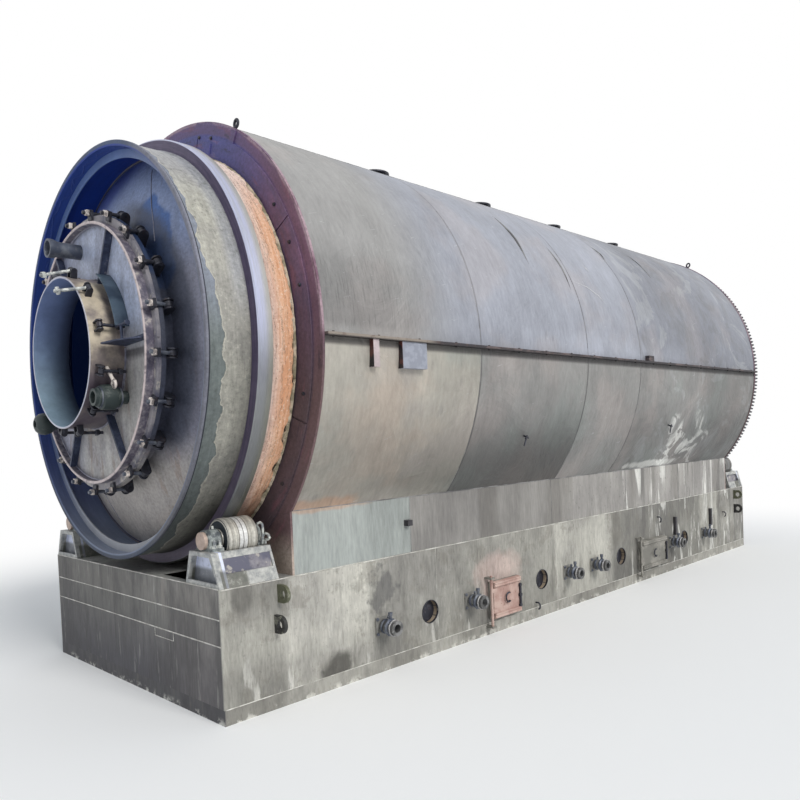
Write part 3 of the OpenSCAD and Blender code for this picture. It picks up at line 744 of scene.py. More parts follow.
def primer_plate(f):
    """Red-oxide primer: violet near the top, maroon beside, brown below, with a worn pale edge."""
    angle, radius = f.round_drum()
    sweep = f.vector(angle * 0.6, radius * 2, f.s)
    clouds = f.grain(1.3, 5)
    marks = f.grain(6.0, 5, 0.7, at=sweep)
    fine = f.grain(50.0, 4, 0.7)
    colour = f.mix(clouds.ramp(0.38, 0.62), (92, 70, 92), (120, 88, 112))
    low_part = f.rise.ramp(0.25, -0.45)
    violet = f.x.ramp(1.45, 0.65) * f.rise.ramp(0.5, 1.1)
    ring = radius.ramp(1.505, 1.495) * f.rise.ramp(-0.2, 0.3)
    stripes = f.grain(5.0, 4, 0.65, at=sweep)
    edge = radius.ramp(CASING_R - 0.018, CASING_R - 0.004)
    apron = f.z.ramp(WALL_TOP - 0.1, WALL_TOP - 0.3)
    colour = f.over(
        colour,
        (ring * stripes.ramp(0.42, 0.6) * 0.5, (76, 74, 104)),
        (violet * 0.85, (76, 84, 146)),
        (low_part * 0.85, (76, 64, 66)),
        (radius.ramp(1.50, 1.52) * 0.4, (112, 74, 86)),
        (radius.ramp(1.50, 1.52) * low_part * 0.5, (104, 84, 80)),
        (apron * 0.95, (174, 158, 146)),
        (stripes.ramp(0.56, 0.64) * 0.4, (136, 84, 96)),
        (edge * f.rise.ramp(-0.15, 0.15) * marks.ramp(0.42, 0.54) * 0.7, (178, 154, 162)),
        (marks.ramp(0.62, 0.70) * 0.4, (150, 136, 146)),
        (marks.ramp(0.40, 0.32) * 0.5, (52, 44, 62)),
    )
    colour = f.shade(colour, marks * 1.1 + fine * 1.3 - 0.2)
    return f.done(colour, marks * 0.3 + 0.45, 0.0, f.bump(fine * 0.2 + clouds, 0.006))


def band_steel(f):
    """The rim: slate lip, khaki scale and peeling skin, painted shade low down and in its navy bore, paler
    hoop.
    """
    angle, radius = f.round_drum()
    wrapped = f.vector(angle * 1.3, f.s, 0.0)
    brushed = f.grain(16.0, 5, 0.7, at=f.vector(angle * 0.25, f.s * 2.5, 0.0))
    clouds = f.grain(2.0, 6, at=wrapped)
    pits = f.grain(34.0, 5, 0.75)
    below = f.rise.ramp(0.35, -0.1)
    rag = f.cells(9.0, f.vector(angle * 1.3, f.s * 0.6, 0.0)) * 0.06 + f.grain(24.0, 4, at=wrapped) * 0.03
    peel = f.s + rag + (clouds - 0.5) * 0.12 + f.rise.ramp(0.2, 1.0) * 0.03 - below * 0.03
    skin = peel.ramp(0.045, 0.041)
    torn = peel.ramp(0.041, 0.045) * peel.ramp(0.054, 0.048)
    lip = f.s.ramp(-0.0625, -0.064)
    # A near-black band painted as shade in the step behind the lip.
    groove = f.s.ramp(-0.064, -0.063) * f.s.ramp(-0.049, -0.052) * f.x.ramp(0.2, 0.5)
    colour = f.mix(clouds.ramp(0.38, 0.62), (142, 140, 134), (168, 166, 156))
    peeled = f.mix(below, (116, 124, 140), (92, 103, 104))
    # The lip's face is painted darker and bluer to the left and top as shade.
    front = f.mix(f.x.ramp(0.45, 0.75), (58, 76, 108), (118, 119, 132))
    colour = f.over(
        colour,
        (f.rise.ramp(0.7, 1.25) * 0.5, (168, 170, 182)),
        (f.s.ramp(0.08, 0.16) * f.rise.ramp(0.0, 0.4) * 0.6, (148, 151, 160)),
        (pits.ramp(0.58, 0.68) * 0.45, (186, 182, 166)),
        (pits.ramp(0.42, 0.34) * 0.4, (104, 104, 98)),
        (f.grain(9.0, 5, 0.7, at=wrapped).ramp(0.58, 0.66) * 0.45, (104, 108, 104)),
        (torn * 0.6, (192, 188, 176)),
        (skin * 0.85, peeled),
        (lip * 0.9, front),
        (groove * 0.95, (22, 26, 42)),
    )
    # Painted shade: darker low down and beside the riding ring.
    dark = f.s.ramp(0.0, 0.15) * f.rise.ramp(0.3, -0.3) * 0.22 + f.rise.ramp(0.2, -0.5) * 0.16
    dark = dark + f.rise.ramp(-0.5, -1.05) * 0.36 + f.s.ramp(0.1, 0.19) * 0.14
    colour = f.shade(colour, (pits * 1.4 + brushed * 1.1 - 0.25) * (1.0 - dark))
    # The bore is painted navy as shade, deepest at the top and the left; the hoop's face is paler.
    top = (f.rise - f.x).ramp(-0.9, 1.2)
    inside = f.mix(top, (112, 122, 144), (8, 52, 140))
    hoop = radius.ramp(RIM_R - 0.034, RIM_R - 0.038) * f.s.ramp(0.014, 0.013)
    inside = f.over(inside, (hoop, f.mix(top, (160, 162, 168), (92, 116, 164))))
    inside = f.shade(inside, brushed * 0.8 + 0.6 - f.x.ramp(-0.5, -1.2) * 0.3)
    colour = f.mix(radius.ramp(RIM_R - 0.02, RIM_R - 0.03), colour, inside)
    return f.done(colour, pits * 0.3 + 0.42, 0.15, f.bump(skin * -0.5 + torn * 0.5 + pits * 0.5, 0.003))


def head_steel(f):
    """The dished head and door: mauve plate, blue heat tint, beige below, painted shadows, a painted sky
    reflection.
    """
    _, radius = f.round_drum()
    clouds = f.grain(1.8, 6)
    flow = f.vector(f.x, f.s * 0.5, f.z * 0.2)
    streaks = f.grain(11.0, 5, 0.7, at=flow)
    fine = f.grain(50.0, 4, 0.7)
    # top paints the head lighter and bluer at the top, a painted reflection of the sky.
    top = f.rise.ramp(0.35, 0.8)
    foot = f.rise.ramp(-0.48, -0.8)
    colour = f.mix(clouds.ramp(0.38, 0.62), (110, 111, 128), (132, 133, 148))
    rust = f.grain(7.0, 5, 0.7, at=flow).ramp(0.56, 0.68) * f.rise.ramp(0.1, -0.5)
    # navy is a painted shadow of the rim over the head's upper left.
    navy = (f.rise - f.x * 0.75 + (clouds - 0.5) * 0.3).ramp(0.95, 1.30) * f.s.ramp(1.0, 0.9)
    wobble = (f.grain(5.0, 3) - 0.5) * 0.12
    corners = [(0.32, 0.86), (0.47, 0.97), (0.70, 0.80), (0.81, 0.43), (0.77, 0.32), (0.62, 0.28)]
    tint = f.within(f.x + wobble, f.rise + wobble, corners)
    core = f.within(f.x, f.rise, [(0.46, 0.72), (0.60, 0.76), (0.70, 0.42), (0.62, 0.38)], 0.06)
    low_edge = radius.ramp(1.06, 1.16) * f.x.ramp(0.1, 0.5) * f.rise.ramp(0.1, -0.1)
    # Painted shadow and dirt, dark below the door on its right.
    shade_and_dirt_under_door = radius.ramp(1.03, 0.94) * f.x.ramp(0.0, 0.4) * f.rise.ramp(-0.75, -0.5)
    colour = f.over(
        colour,
        (top * 0.85, (130, 147, 184)),
        (foot * 0.85, (166, 160, 154)),
        (navy * 0.85, (40, 58, 128)),
        (tint * 0.85, (28, 84, 152)),
        (core * 0.75, (14, 88, 166)),
        (rust * 0.4, (134, 104, 84)),
        (streaks.ramp(0.58, 0.70) * 0.4, (84, 82, 90)),
        (low_edge * 0.6, (176, 164, 156)),
        (shade_and_dirt_under_door * 0.8, (50, 56, 72)),
    )
    colour = f.shade(colour, streaks * 1.2 + fine * 1.2 - 0.2)
    return f.done(colour, streaks * 0.2 + 0.4, 0.2, f.bump(fine * 0.15 + clouds, 0.004))


def ring_steel(f):
    """The riding rings: bright running faces, cool outside and warm inside, painted shade low down, plum sides.
    """
    angle, radius = f.round_drum()
    inset = LENGTH / 2 - f.y.size()
    tracks = f.grain(26.0, 3, 0.6, at=f.vector(0.0, f.s * 2, angle * 0.05))
    fine = f.grain(80.0, 4, 0.7, at=f.vector(angle * 0.25, f.s * 3, 0.0))
    sweep = f.grain(20.0, 4, 0.7, at=f.vector(angle * 0.3, radius * 3, 0.0))
    running = radius.ramp(RING_R - 0.010, RING_R - 0.007)
    face = f.mix(inset.ramp(0.235, 0.285), (184, 188, 212), (174, 172, 168))
    face = f.over(face, (f.rise.ramp(0.2, -0.5) * 0.6, (172, 174, 158)))
    face = f.over(face, (tracks.ramp(0.52, 0.62) * 0.4, (168, 170, 176)))
    # Painted shade: the running face darkens low down.
    shade = f.rise.ramp(0.08, -0.25) * 0.45 + f.rise.ramp(-0.35, -0.9) * 0.2
    side = f.mix(sweep.ramp(0.35, 0.65), (76, 68, 96), (98, 88, 114))
    side = f.over(side, (f.rise.ramp(0.0, -1.2) * 0.4, (94, 88, 92)))
    colour = f.mix(running, side, f.shade(face, 1.0 - shade))
    colour = f.shade(colour, fine * 0.7 + 0.66)
    return f.done(colour, running * -0.2 + tracks * 0.2 + 0.42, running * 0.35 + 0.3, f.bump(fine, 0.0006))


def roller_steel(f):
    """The rollers: beige barrels with two bright tracks, dark recessed ends."""
    inset = LENGTH / 2 - f.y.size()
    from_middle = (inset - 0.236).size()
    worn = f.grain(34.0, 4, 0.7, at=f.vector(0.0, f.s * 1.5, 0.0))
    fine = f.grain(70.0, 4, 0.7)
    colour = f.mix(worn.ramp(0.35, 0.65), (158, 155, 147), (206, 203, 194))
    colour = f.over(
        colour,
        (from_middle.ramp(0.026, 0.024) * 0.8, (226, 226, 226)),
        (from_middle.ramp(0.0015, 0.0035) * -1.0 + 1.0, (96, 94, 92)),
        (from_middle.ramp(0.026, 0.028) * from_middle.ramp(0.034, 0.031) * 0.8, (96, 92, 88)),
        (from_middle.ramp(0.0965, 0.0975) * from_middle.ramp(0.101, 0.0995), (50, 58, 66)),
    )
    colour = f.mix(f.s.ramp(5.0, 5.1) * 0.8, colour, (66, 66, 68))
    return f.done(f.shade(colour, fine * 1.2 + 0.4), worn * 0.2 + 0.34, 0.45, f.bump(fine + worn, 0.001))


def orange_fibre(f):
    """Scorched fibre blanket: peach beside the ring and orange towards the furnace, grained all over."""
    angle, radius = f.round_drum()
    inset = LENGTH / 2 - f.y.size()
    along = f.vector(angle * 0.25, f.s * 5, radius * 3)
    stripes = f.grain(9.0, 5, 0.7, at=along)
    tufts = f.grain(60.0, 6, 0.8)
    clouds = f.grain(4.0, 5)
    cracks = (f.grain(5.0, 5, 0.7, at=along) - 0.5).size().ramp(0.010, 0.002)
    peach = f.mix(stripes.ramp(0.36, 0.62), (210, 182, 170), (228, 208, 198))
    orange = f.mix(stripes.ramp(0.36, 0.62), (218, 160, 122), (232, 188, 156))
    colour = f.mix(inset.ramp(0.31, 0.42), peach, orange)
    colour = f.over(
        colour,
        (f.rise.ramp(0.6, 1.2) * 0.75, (240, 230, 226)),
        (clouds.ramp(0.58, 0.66) * inset.ramp(0.36, 0.32) * 0.5, (176, 160, 146)),
        (tufts.ramp(0.56, 0.64) * 0.7, (250, 236, 220)),
        (tufts.ramp(0.45, 0.36) * 0.6, (150, 104, 80)),
        (cracks * 0.8, (96, 66, 54)),
        (f.rise.ramp(-0.75, -1.1) * 0.7, (84, 62, 54)),
    )
    return f.done(colour, 0.95, 0.0, f.bump(tufts * 0.8 + stripes * 0.6, 0.007))


def bearing_steel(f):
    """Roller bearings: blotchy grey housings, their end caps faded to peach."""
    rub = f.grain(24.0, 5, 0.65)
    end = f.s.ramp(0.0405, 0.0385) + f.s.ramp(LENGTH - 0.0405, LENGTH - 0.0385)
    colour = f.mix(rub.ramp(0.38, 0.6), (84, 90, 94), (150, 156, 154))
    colour = f.over(colour, (rub.ramp(0.58, 0.66) * 0.7, (196, 200, 196)), (end * 0.85, (188, 164, 150)))
    return f.done(f.shade(colour, rub * 0.6 + 0.7), 0.5, 0.15, f.bump(rub, 0.002))


def tab_steel(f):
    """The plates under the split flange, pale outside with dark ends, and the dark levers."""
    narrow = f.s.ramp(0.861, 0.863) * f.s.ramp(1.0, 0.99)
    wide = f.s.ramp(1.103, 1.106) * f.s.ramp(1.4, 1.39)
    rust = f.grain(16.0, 4).ramp(0.45, 0.6)
    colour = f.mix(rust, (34, 28, 34), (84, 46, 42))
    rear = f.s.ramp(1.42, 1.44)
    colour = f.over(colour, (narrow, (186, 170, 172)), (wide, (146, 150, 162)), (rear, (56, 54, 58)))
    return f.done(f.shade(colour, rust * 0.2 + 0.9), 0.5, 0.1)


def lug_iron(f):
    """Tie lugs: olive plates, the lower ones painted near black as shade, with pale rubbed edges."""
    rub = f.grain(18.0, 5, 0.65)
    # The lower lugs are painted near black as shade.
    lower = f.z.ramp(0.6, 0.58)
    colour = f.mix(lower, (92, 94, 74), (44, 44, 44))
    colour = f.over(
        colour,
        (rub.ramp(0.54, 0.64) * 0.6, (150, 150, 136)),
        (rub.ramp(0.42, 0.34) * 0.5, (40, 38, 36)),
    )
    return f.done(colour, rub * 0.3 + 0.35, 0.15, f.bump(rub, 0.002))


def guard_teal(f):
    """The curved guard beside the neck: dark teal with glossy runs, and painted highlights on them."""
    runs = f.grain(10.0, 4, 0.6, at=f.vector(f.x, f.s * 0.3, f.z * 0.4))
    colour = f.mix(runs.ramp(0.4, 0.6), (52, 66, 82), (82, 98, 112))
    # Pale painted highlights where the runs are strongest.
    colour = f.over(colour, (runs.ramp(0.62, 0.68) * 0.7, (168, 178, 184)))
    return f.done(colour, runs * -0.4 + 0.55, 0.3, f.bump(runs, 0.001))


def pale_mark(f):
    """Marks scraped bright in the casing."""
    rub = f.grain(20.0, 3)
    return f.done(f.mix(rub, (176, 176, 180), (214, 214, 216)), 0.5, 0.2)


def flange_steel(f):
    """The split flange: dark grime, painted shade below, its edge worn cream near the front and rusty pink
    beyond.
    """
    wear = f.grain(5.0, 5, 0.7, at=f.vector(f.s, f.z * 4, 0.0))
    edge = f.x.size().ramp(SPLIT_X - 0.008, SPLIT_X - 0.003)
    front = f.s.ramp(1.45, 1.30)
    # under paints the flange's underside near black as shade.
    under = f.z.ramp(SPLIT_Z, SPLIT_Z - 0.008)
    colour = f.over(
        (56, 52, 56),
        (wear.ramp(0.50, 0.62) * 0.6, (124, 108, 106)),
        (front * 0.5, (112, 104, 98)),
        (edge * front * 0.8, (152, 142, 132)),
        (f.grain(20.0, 4).ramp(0.56, 0.68) * 0.5, (96, 76, 70)),
        (under * 0.8, (34, 32, 34)),
    )
    return f.done(colour, 0.6, 0.2, f.bump(f.grain(60.0, 4), 0.002))


def burner_iron(f):
    """The burner tubes: dark iron inside a paler, sooty flange."""
    rub = f.grain(18.0, 4, 0.6)
    flange = f.x.size().ramp(HALF_W + 0.016, HALF_W + 0.008)
    colour = f.over((90, 90, 90), (rub.ramp(0.50, 0.60) * 0.6, (150, 150, 150)))
    colour = f.over(colour, (flange * 0.8, (150, 148, 142)), (rub.ramp(0.42, 0.34) * 0.5, (50, 48, 50)))
    return f.done(colour, rub * 0.3 + 0.4, 0.25, f.bump(f.grain(80.0, 4), 0.001))


def firebrick(f):
    """Laid brick: buff courses with grey joints."""
    laid = {"Vector": f.vector(f.s + f.x, f.z, 0.0), "Scale": 1.0}
    laid.update({"Brick Width": 0.23, "Row Height": 0.068, "Mortar Size": 0.004})
    laid.update({"Color1": (184, 166, 144), "Color2": (158, 142, 122), "Mortar": (110, 104, 96)})
    bricks = f.node("ShaderNodeTexBrick", {}, laid)
    soot = f.grain(3.0, 5).ramp(0.45, 0.65)
    return f.done(f.over(bricks, (soot * 0.5, (70, 62, 56))), 0.9, 0.0, f.bump(f.grain(40.0, 4), 0.003))


def drum_steel(f):
    """The drum shell: scaled plate outside; within, painted navy shade and a faint painted glow of blue sky
    light.
    """
    _, radius = f.round_drum()
    clouds = f.grain(2.5, 6)
    colour = f.mix(clouds.ramp(0.38, 0.62), (84, 80, 80), (116, 112, 112))
    colour = f.over(colour, (f.grain(9.0, 5, 0.7).ramp(0.58, 0.68) * 0.5, (122, 92, 74)))
    # The inner face is painted dark navy as shade, and glows faintly blue as painted sky light.
    inner = radius.ramp(1.293, 1.290)
    colour = f.over(colour, (inner * 0.8, (20, 28, 52)))
    glow = f.mix(inner, (0.0, 0.0, 0.0, 1.0), (3, 9, 30))
    normal = f.bump(f.grain(40.0, 4), 0.002)
    return f.done(colour, clouds * 0.3 + 0.5, 0.3, normal, emission_color=glow, emission_strength=1.0)


def cover_steel(f):
    """The door cover's disc: mauve-grey above, bluer on the left, beige below, with rust-brown drips."""
    _, radius = f.round_drum()
    clouds = f.grain(4.0, 6)
    flow = f.vector(f.x, f.s * 0.5, f.z * 0.2)
    fine = f.grain(50.0, 4, 0.7)
    streaks = f.grain(14.0, 5, 0.7, at=flow)
    rust = f.grain(12.0, 5, 0.7, at=flow).ramp(0.5, 0.64)
    shadow = f.rise.ramp(-0.012, -0.03) * f.rise.ramp(-0.10, -0.05) * f.x.ramp(0, 0.3)
    colour = f.mix(f.rise.ramp(-0.15, 0.25), (170, 168, 166), (176, 184, 206))
    colour = f.over(
        colour,
        (f.x.ramp(-0.1, -0.5) * 0.5, (138, 144, 176)),
        (clouds.ramp(0.5, 0.62) * 0.4, (112, 110, 122)),
        (rust * f.rise.ramp(0.1, -0.4) * 0.5, (120, 94, 80)),
        # A painted shadow in the recess by the rim, darkening the disc's edge.
        (radius.ramp(COVER_R - 0.06, COVER_R - 0.02) * 0.5, (84, 80, 92)),
        (shadow * 0.7, (40, 38, 46)),
    )
    colour = f.shade(colour, streaks * 1.2 + fine * 1.1 - 0.15)
    return f.done(colour, clouds * 0.3 + 0.35, 0.15, f.bump(clouds, 0.003))


def worn_rim(f):
    """The cover's rim: mauve outside, its front edge rubbed to cream with dark nicks."""
    rub = f.grain(20.0, 5, 0.65)
    front = f.s.ramp(COVER_S + 0.010, COVER_S + 0.003)
    colour = f.mix(rub.ramp(0.4, 0.6), (92, 88, 104), (132, 126, 134))
    colour = f.over(
        colour,
        (front * 0.85, (206, 192, 190)),
        (front * rub.ramp(0.44, 0.36) * 0.6, (96, 88, 98)),
        (rub.ramp(0.58, 0.66) * (1 - front) * 0.6, (188, 182, 172)),
    )
    return f.done(f.shade(colour, rub * 0.8 + 0.6), 0.45, 0.2, f.bump(rub, 0.001))


def neck_steel(f):
    """The feed neck: blue-grey bore darkening inward with painted shade, pale worn mouth, beige and plum
    outside.
    """
    _, radius = f.round_drum()
    flow = f.vector(f.x, f.s * 0.6, f.z * 0.3)
    streaks = f.grain(10.0, 5, 0.65)
    clouds = f.grain(5.0, 5)
    rust = f.grain(9.0, 5, 0.7, at=flow).ramp(0.52, 0.66)
    mouth = f.mix(f.rise.ramp(-0.35, 0.35), (152, 176, 192), (120, 138, 182))
    # Painted shade: the bore darkens to navy inward.
    inside = f.mix(f.s.ramp(NECK_S + 0.04, NECK_S + 0.26), mouth, (22, 28, 54))
    outside = f.mix(clouds.ramp(0.4, 0.6), (132, 122, 118), (186, 174, 154))
    outside = f.over(
        outside,
        (rust * 0.55, (110, 90, 82)),
        (f.rise.ramp(-0.02, -0.25) * 0.8, (64, 56, 74)),
        (f.s.ramp(NECK_S + 0.10, NECK_S + 0.16) * 0.4, (84, 78, 92)),
    )
    colour = f.mix(radius.ramp(NECK_R - 0.004, NECK_R - 0.009), outside, inside)
    colour = f.over(colour, (f.s.ramp(NECK_S + 0.004, NECK_S + 0.001) * 0.8, (196, 196, 208)))
    return f.done(f.shade(colour, streaks * 0.8 + 0.6), 0.5, 0.15, f.bump(streaks, 0.001))


def worn(grain, base, *coats, shade=None, rough=0.35, gloss=0.3, metal=0.0, depth=0.001, pits=None):
    """A recipe for a simple finish, ruled by one grain.

    The base is a colour, or two colours and the limits of grain between which the first gives way to the
    second. A coat is a colour, its strength and its limits. Either may end with the settings of a grain of
    its own. Shade is a factor and an offset of the grain, and pits are the settings of the relief's grain.
    """
    def recipe(f):
        rub = f.grain(*grain)

        def share(limits, own=None):
            return (f.grain(*own) if own else rub).ramp(*limits)

        colour = base[0] if len(base) == 1 else f.mix(share(*base[2:]), base[0], base[1])
        colour = f.over(colour, *[(share(*limits) * strength, coat) for coat, strength, *limits in coats])
        if shade:
            colour = f.shade(colour, rub * shade[0] + shade[1])
        dullness = rub * gloss + rough if gloss else rough
        return f.done(colour, dullness, metal, f.bump(f.grain(*pits) if pits else rub, depth))

    return recipe


FINE_RUB = (30.0, 4, 0.6)
COARSE_RUB = (16.0, 4, 0.6)
RECIPES = {
    # Forged and cast fittings: near black, oily, with grey rubbed corners.
    "dark_iron": worn(
        (22.0, 4, 0.6), [(46, 47, 56)], [(84, 86, 98), 0.6, (0.52, 0.66)],
        [(96, 74, 62), 0.3, (0.56, 0.68), (14.0, 5, 0.7)], rough=0.3, metal=0.4, pits=(90.0, 4),
    ),
    # Nuts and thread ends rubbed pale by the spanner.
    "worn_nut": worn(
        FINE_RUB, [(150, 150, 154), (196, 194, 192), (0.4, 0.6)],
        [(110, 96, 88), 0.6, (0.58, 0.66), (18.0, 5)], rough=0.3, metal=0.35, depth=0.0015,
    ),
    # Nuts of the door clamps, rubbed to a pinkish cream.
    "cream_nut": worn(FINE_RUB, [(132, 124, 122), (222, 212, 204), (0.40, 0.56)], metal=0.1),
    # Bolts with a greenish white bloom on them.
    "pale_iron": worn((26.0, 4, 0.6), [(120, 124, 128), (204, 206, 200), (0.38, 0.6)], metal=0.15),
    # The cover's flange plates: mauve-grey with cream worn edges and dark gaps.
    "pale_plate": worn(
        (14.0, 5, 0.65), [(92, 92, 108), (150, 146, 150), (0.4, 0.6), (5.0, 4)],
        [(196, 190, 178), 0.6, (0.55, 0.65)], [(52, 50, 58), 0.6, (0.42, 0.34)],
        rough=0.4, metal=0.15, depth=0.002,
    ),
    # Weld beads on the base: paler and shinier than the plate, with brown fringes.
    "weld_metal": worn(
        (110.0, 3), [(168, 165, 158), (212, 210, 204), (0.42, 0.6), (9.0, 4)],
        shade=(0.7, 0.65), rough=0.45, gloss=0.0, metal=0.2, depth=0.002,
    ),
    # Weld beads on the head and the door, close to the plate's own colour.
    "head_weld": worn(
        (90.0, 3), [(112, 112, 128), (146, 146, 160), (0.42, 0.6), (9.0, 4)],
        shade=(0.6, 0.7), rough=0.45, gloss=0.0, metal=0.2, depth=0.002,
    ),
    # Grimy joints and weld lines on the casing.
    "dark_seam": worn(
        (60.0, 3), [(98, 97, 98), (142, 141, 141), (0.42, 0.6), (5.0, 4)],
        shade=(0.5, 0.75), rough=0.55, gloss=0.0, metal=0.2, depth=0.002,
    ),
    # The door's ribs, in their own shadow: dark navy.
    "navy_plate": worn(
        (16.0, 5, 0.65), [(36, 44, 66), (62, 70, 94), (0.4, 0.62)], [(150, 148, 156), 0.5, (0.62, 0.70)],
        rough=0.5, gloss=0.0, metal=0.2,
    ),
    # Cast couplings with an old dark green coat.
    "green_iron": worn(
        COARSE_RUB, [(48, 58, 58)], [(98, 104, 100), 0.6, (0.54, 0.66)], metal=0.2, pits=(70.0, 4),
    ),
    # Short pipes and shafts: slate grey.
    "pipe_steel": worn(COARSE_RUB, [(78, 84, 98), (112, 116, 124), (0.4, 0.62)], metal=0.35, pits=(60.0, 4)),
    # The front fire door: pink primer, chipped and sooty round its edges.
    "pink_primer": worn(
        (26.0, 5, 0.7), [(168, 136, 127), (190, 165, 155), (0.4, 0.6), (6.0, 5)],
        [(126, 96, 86), 0.6, (0.58, 0.66)], [(214, 204, 196), 0.5, (0.36, 0.3)],
        rough=0.7, gloss=0.0, depth=0.002,
    ),
    # The other fire doors: grey plate burnt brown in places.
    "door_steel": worn(
        (24.0, 5, 0.7), [(118, 116, 110), (146, 143, 136), (0.4, 0.6), (5.0, 5)],
        [(84, 80, 76), 0.55, (0.56, 0.66)], rough=0.65, gloss=0.0, metal=0.1, depth=0.002,
    ),
    # Fibre blanket under the casing: off-white, smoked.
    "fibre_lining": worn(
        (40.0, 5, 0.7), [(176, 168, 152), (212, 206, 194), (0.4, 0.6), (3.0, 5)],
        [(120, 110, 96), 0.5, (0.4, 0.3)], rough=0.95, gloss=0.0, depth=0.008,
    ),
    # The blanket's frayed edge: beige and greenish grey, blackened in the cracks.
    "torn_fibre": worn(
        (45.0, 5, 0.75), [(140, 132, 110), (206, 190, 168), (0.4, 0.6), (14.0, 5)],
        [(48, 42, 38), 0.8, (0.44, 0.32)], rough=0.95, gloss=0.0, depth=0.006,
    ),
}
for made in (
    casing_steel, wall_steel, flank_steel, base_steel, skirt_steel, primer_plate, band_steel, head_steel,
    guard_teal, pedestal_steel, ring_steel, roller_steel, bearing_steel, tab_steel, lug_iron, orange_fibre,
    pale_mark, burner_iron, flange_steel, firebrick, drum_steel, cover_steel, worn_rim, neck_steel,
):
    RECIPES[made.__name__] = made


# ---- settings that a user would change ----


class ReactorSizes(bpy.types.PropertyGroup):
    """Sizes of the details that this script adds."""

    weld: bpy.props.FloatProperty(
        name="Weld bead", description="Radius of the weld beads",
        default=0.006, min=0.002, max=0.02, unit="LENGTH", subtype="DISTANCE",
    )
    flange_bolt: bpy.props.FloatProperty(
        name="Flange bolt", description="Thread size of the casing's flange bolts",
        default=0.009, min=0.008, max=0.03, unit="LENGTH", subtype="DISTANCE",
    )
    flange_pitch: bpy.props.FloatProperty(
        name="Bolt pitch", description="Distance between the bolts of the split flange",
        default=0.35, min=0.08, max=0.4, unit="LENGTH", subtype="DISTANCE",
    )
    cover_bolt: bpy.props.FloatProperty(
        name="Cover ring bolt", description="Thread size of the cover rings' bolts",
        default=0.012, min=0.01, max=0.03, unit="LENGTH", subtype="DISTANCE",
    )
    fray: bpy.props.FloatProperty(
        name="Fray", description="How deep the fibre lining's face is pitted",
        default=0.016, min=0.0, max=0.03, unit="LENGTH", subtype="DISTANCE",
    )
    seed: bpy.props.IntProperty(
        name="Seed", description="Picks another set of torn edges and bolt angles", default=7, min=0, max=999,
    )


class ReactorColours(bpy.types.PropertyGroup):
    """Colours of the stage."""

    floor: bpy.props.FloatVectorProperty(
        name="Floor", description="Colour of the studio floor",
        default=(0.96, 0.96, 0.96), size=3, min=0.0, max=1.0, subtype="COLOR",
    )
    sky: bpy.props.FloatVectorProperty(
        name="Soft light", description="Colour of the light from all round",
        default=(0.90, 0.95, 1.0), size=3, min=0.0, max=1.0, subtype="COLOR",
    )


# ---- stage ----

WHITE = (1.0, 1.0, 1.0, 1.0)
REACH = 60.0  # half the width of the floor
FADE = (4.0, 9.0)  # from the axis out, where the floor fades to white
SKY_LIGHT = 0.55
SUNS = (  # name, where it stands, strength, width in degrees, colour
    ("key", (0.85, -0.02, 0.60), 2.0, 24.0, (1.0, 0.985, 0.955)),
    ("fill", (-0.35, -0.85, 0.35), 0.12, 60.0, (0.70, 0.80, 1.0)),
)
CAMERA_TURN = (44.1445, -1.8057, -2.3196)  # azimuth, pitch and roll in degrees
CAMERA_PLACE = (4.8707, -2.1126, 1.5825)  # x, station and z
LENS = 33.19
LENS_SHIFT = (-0.0287, 0.0736)


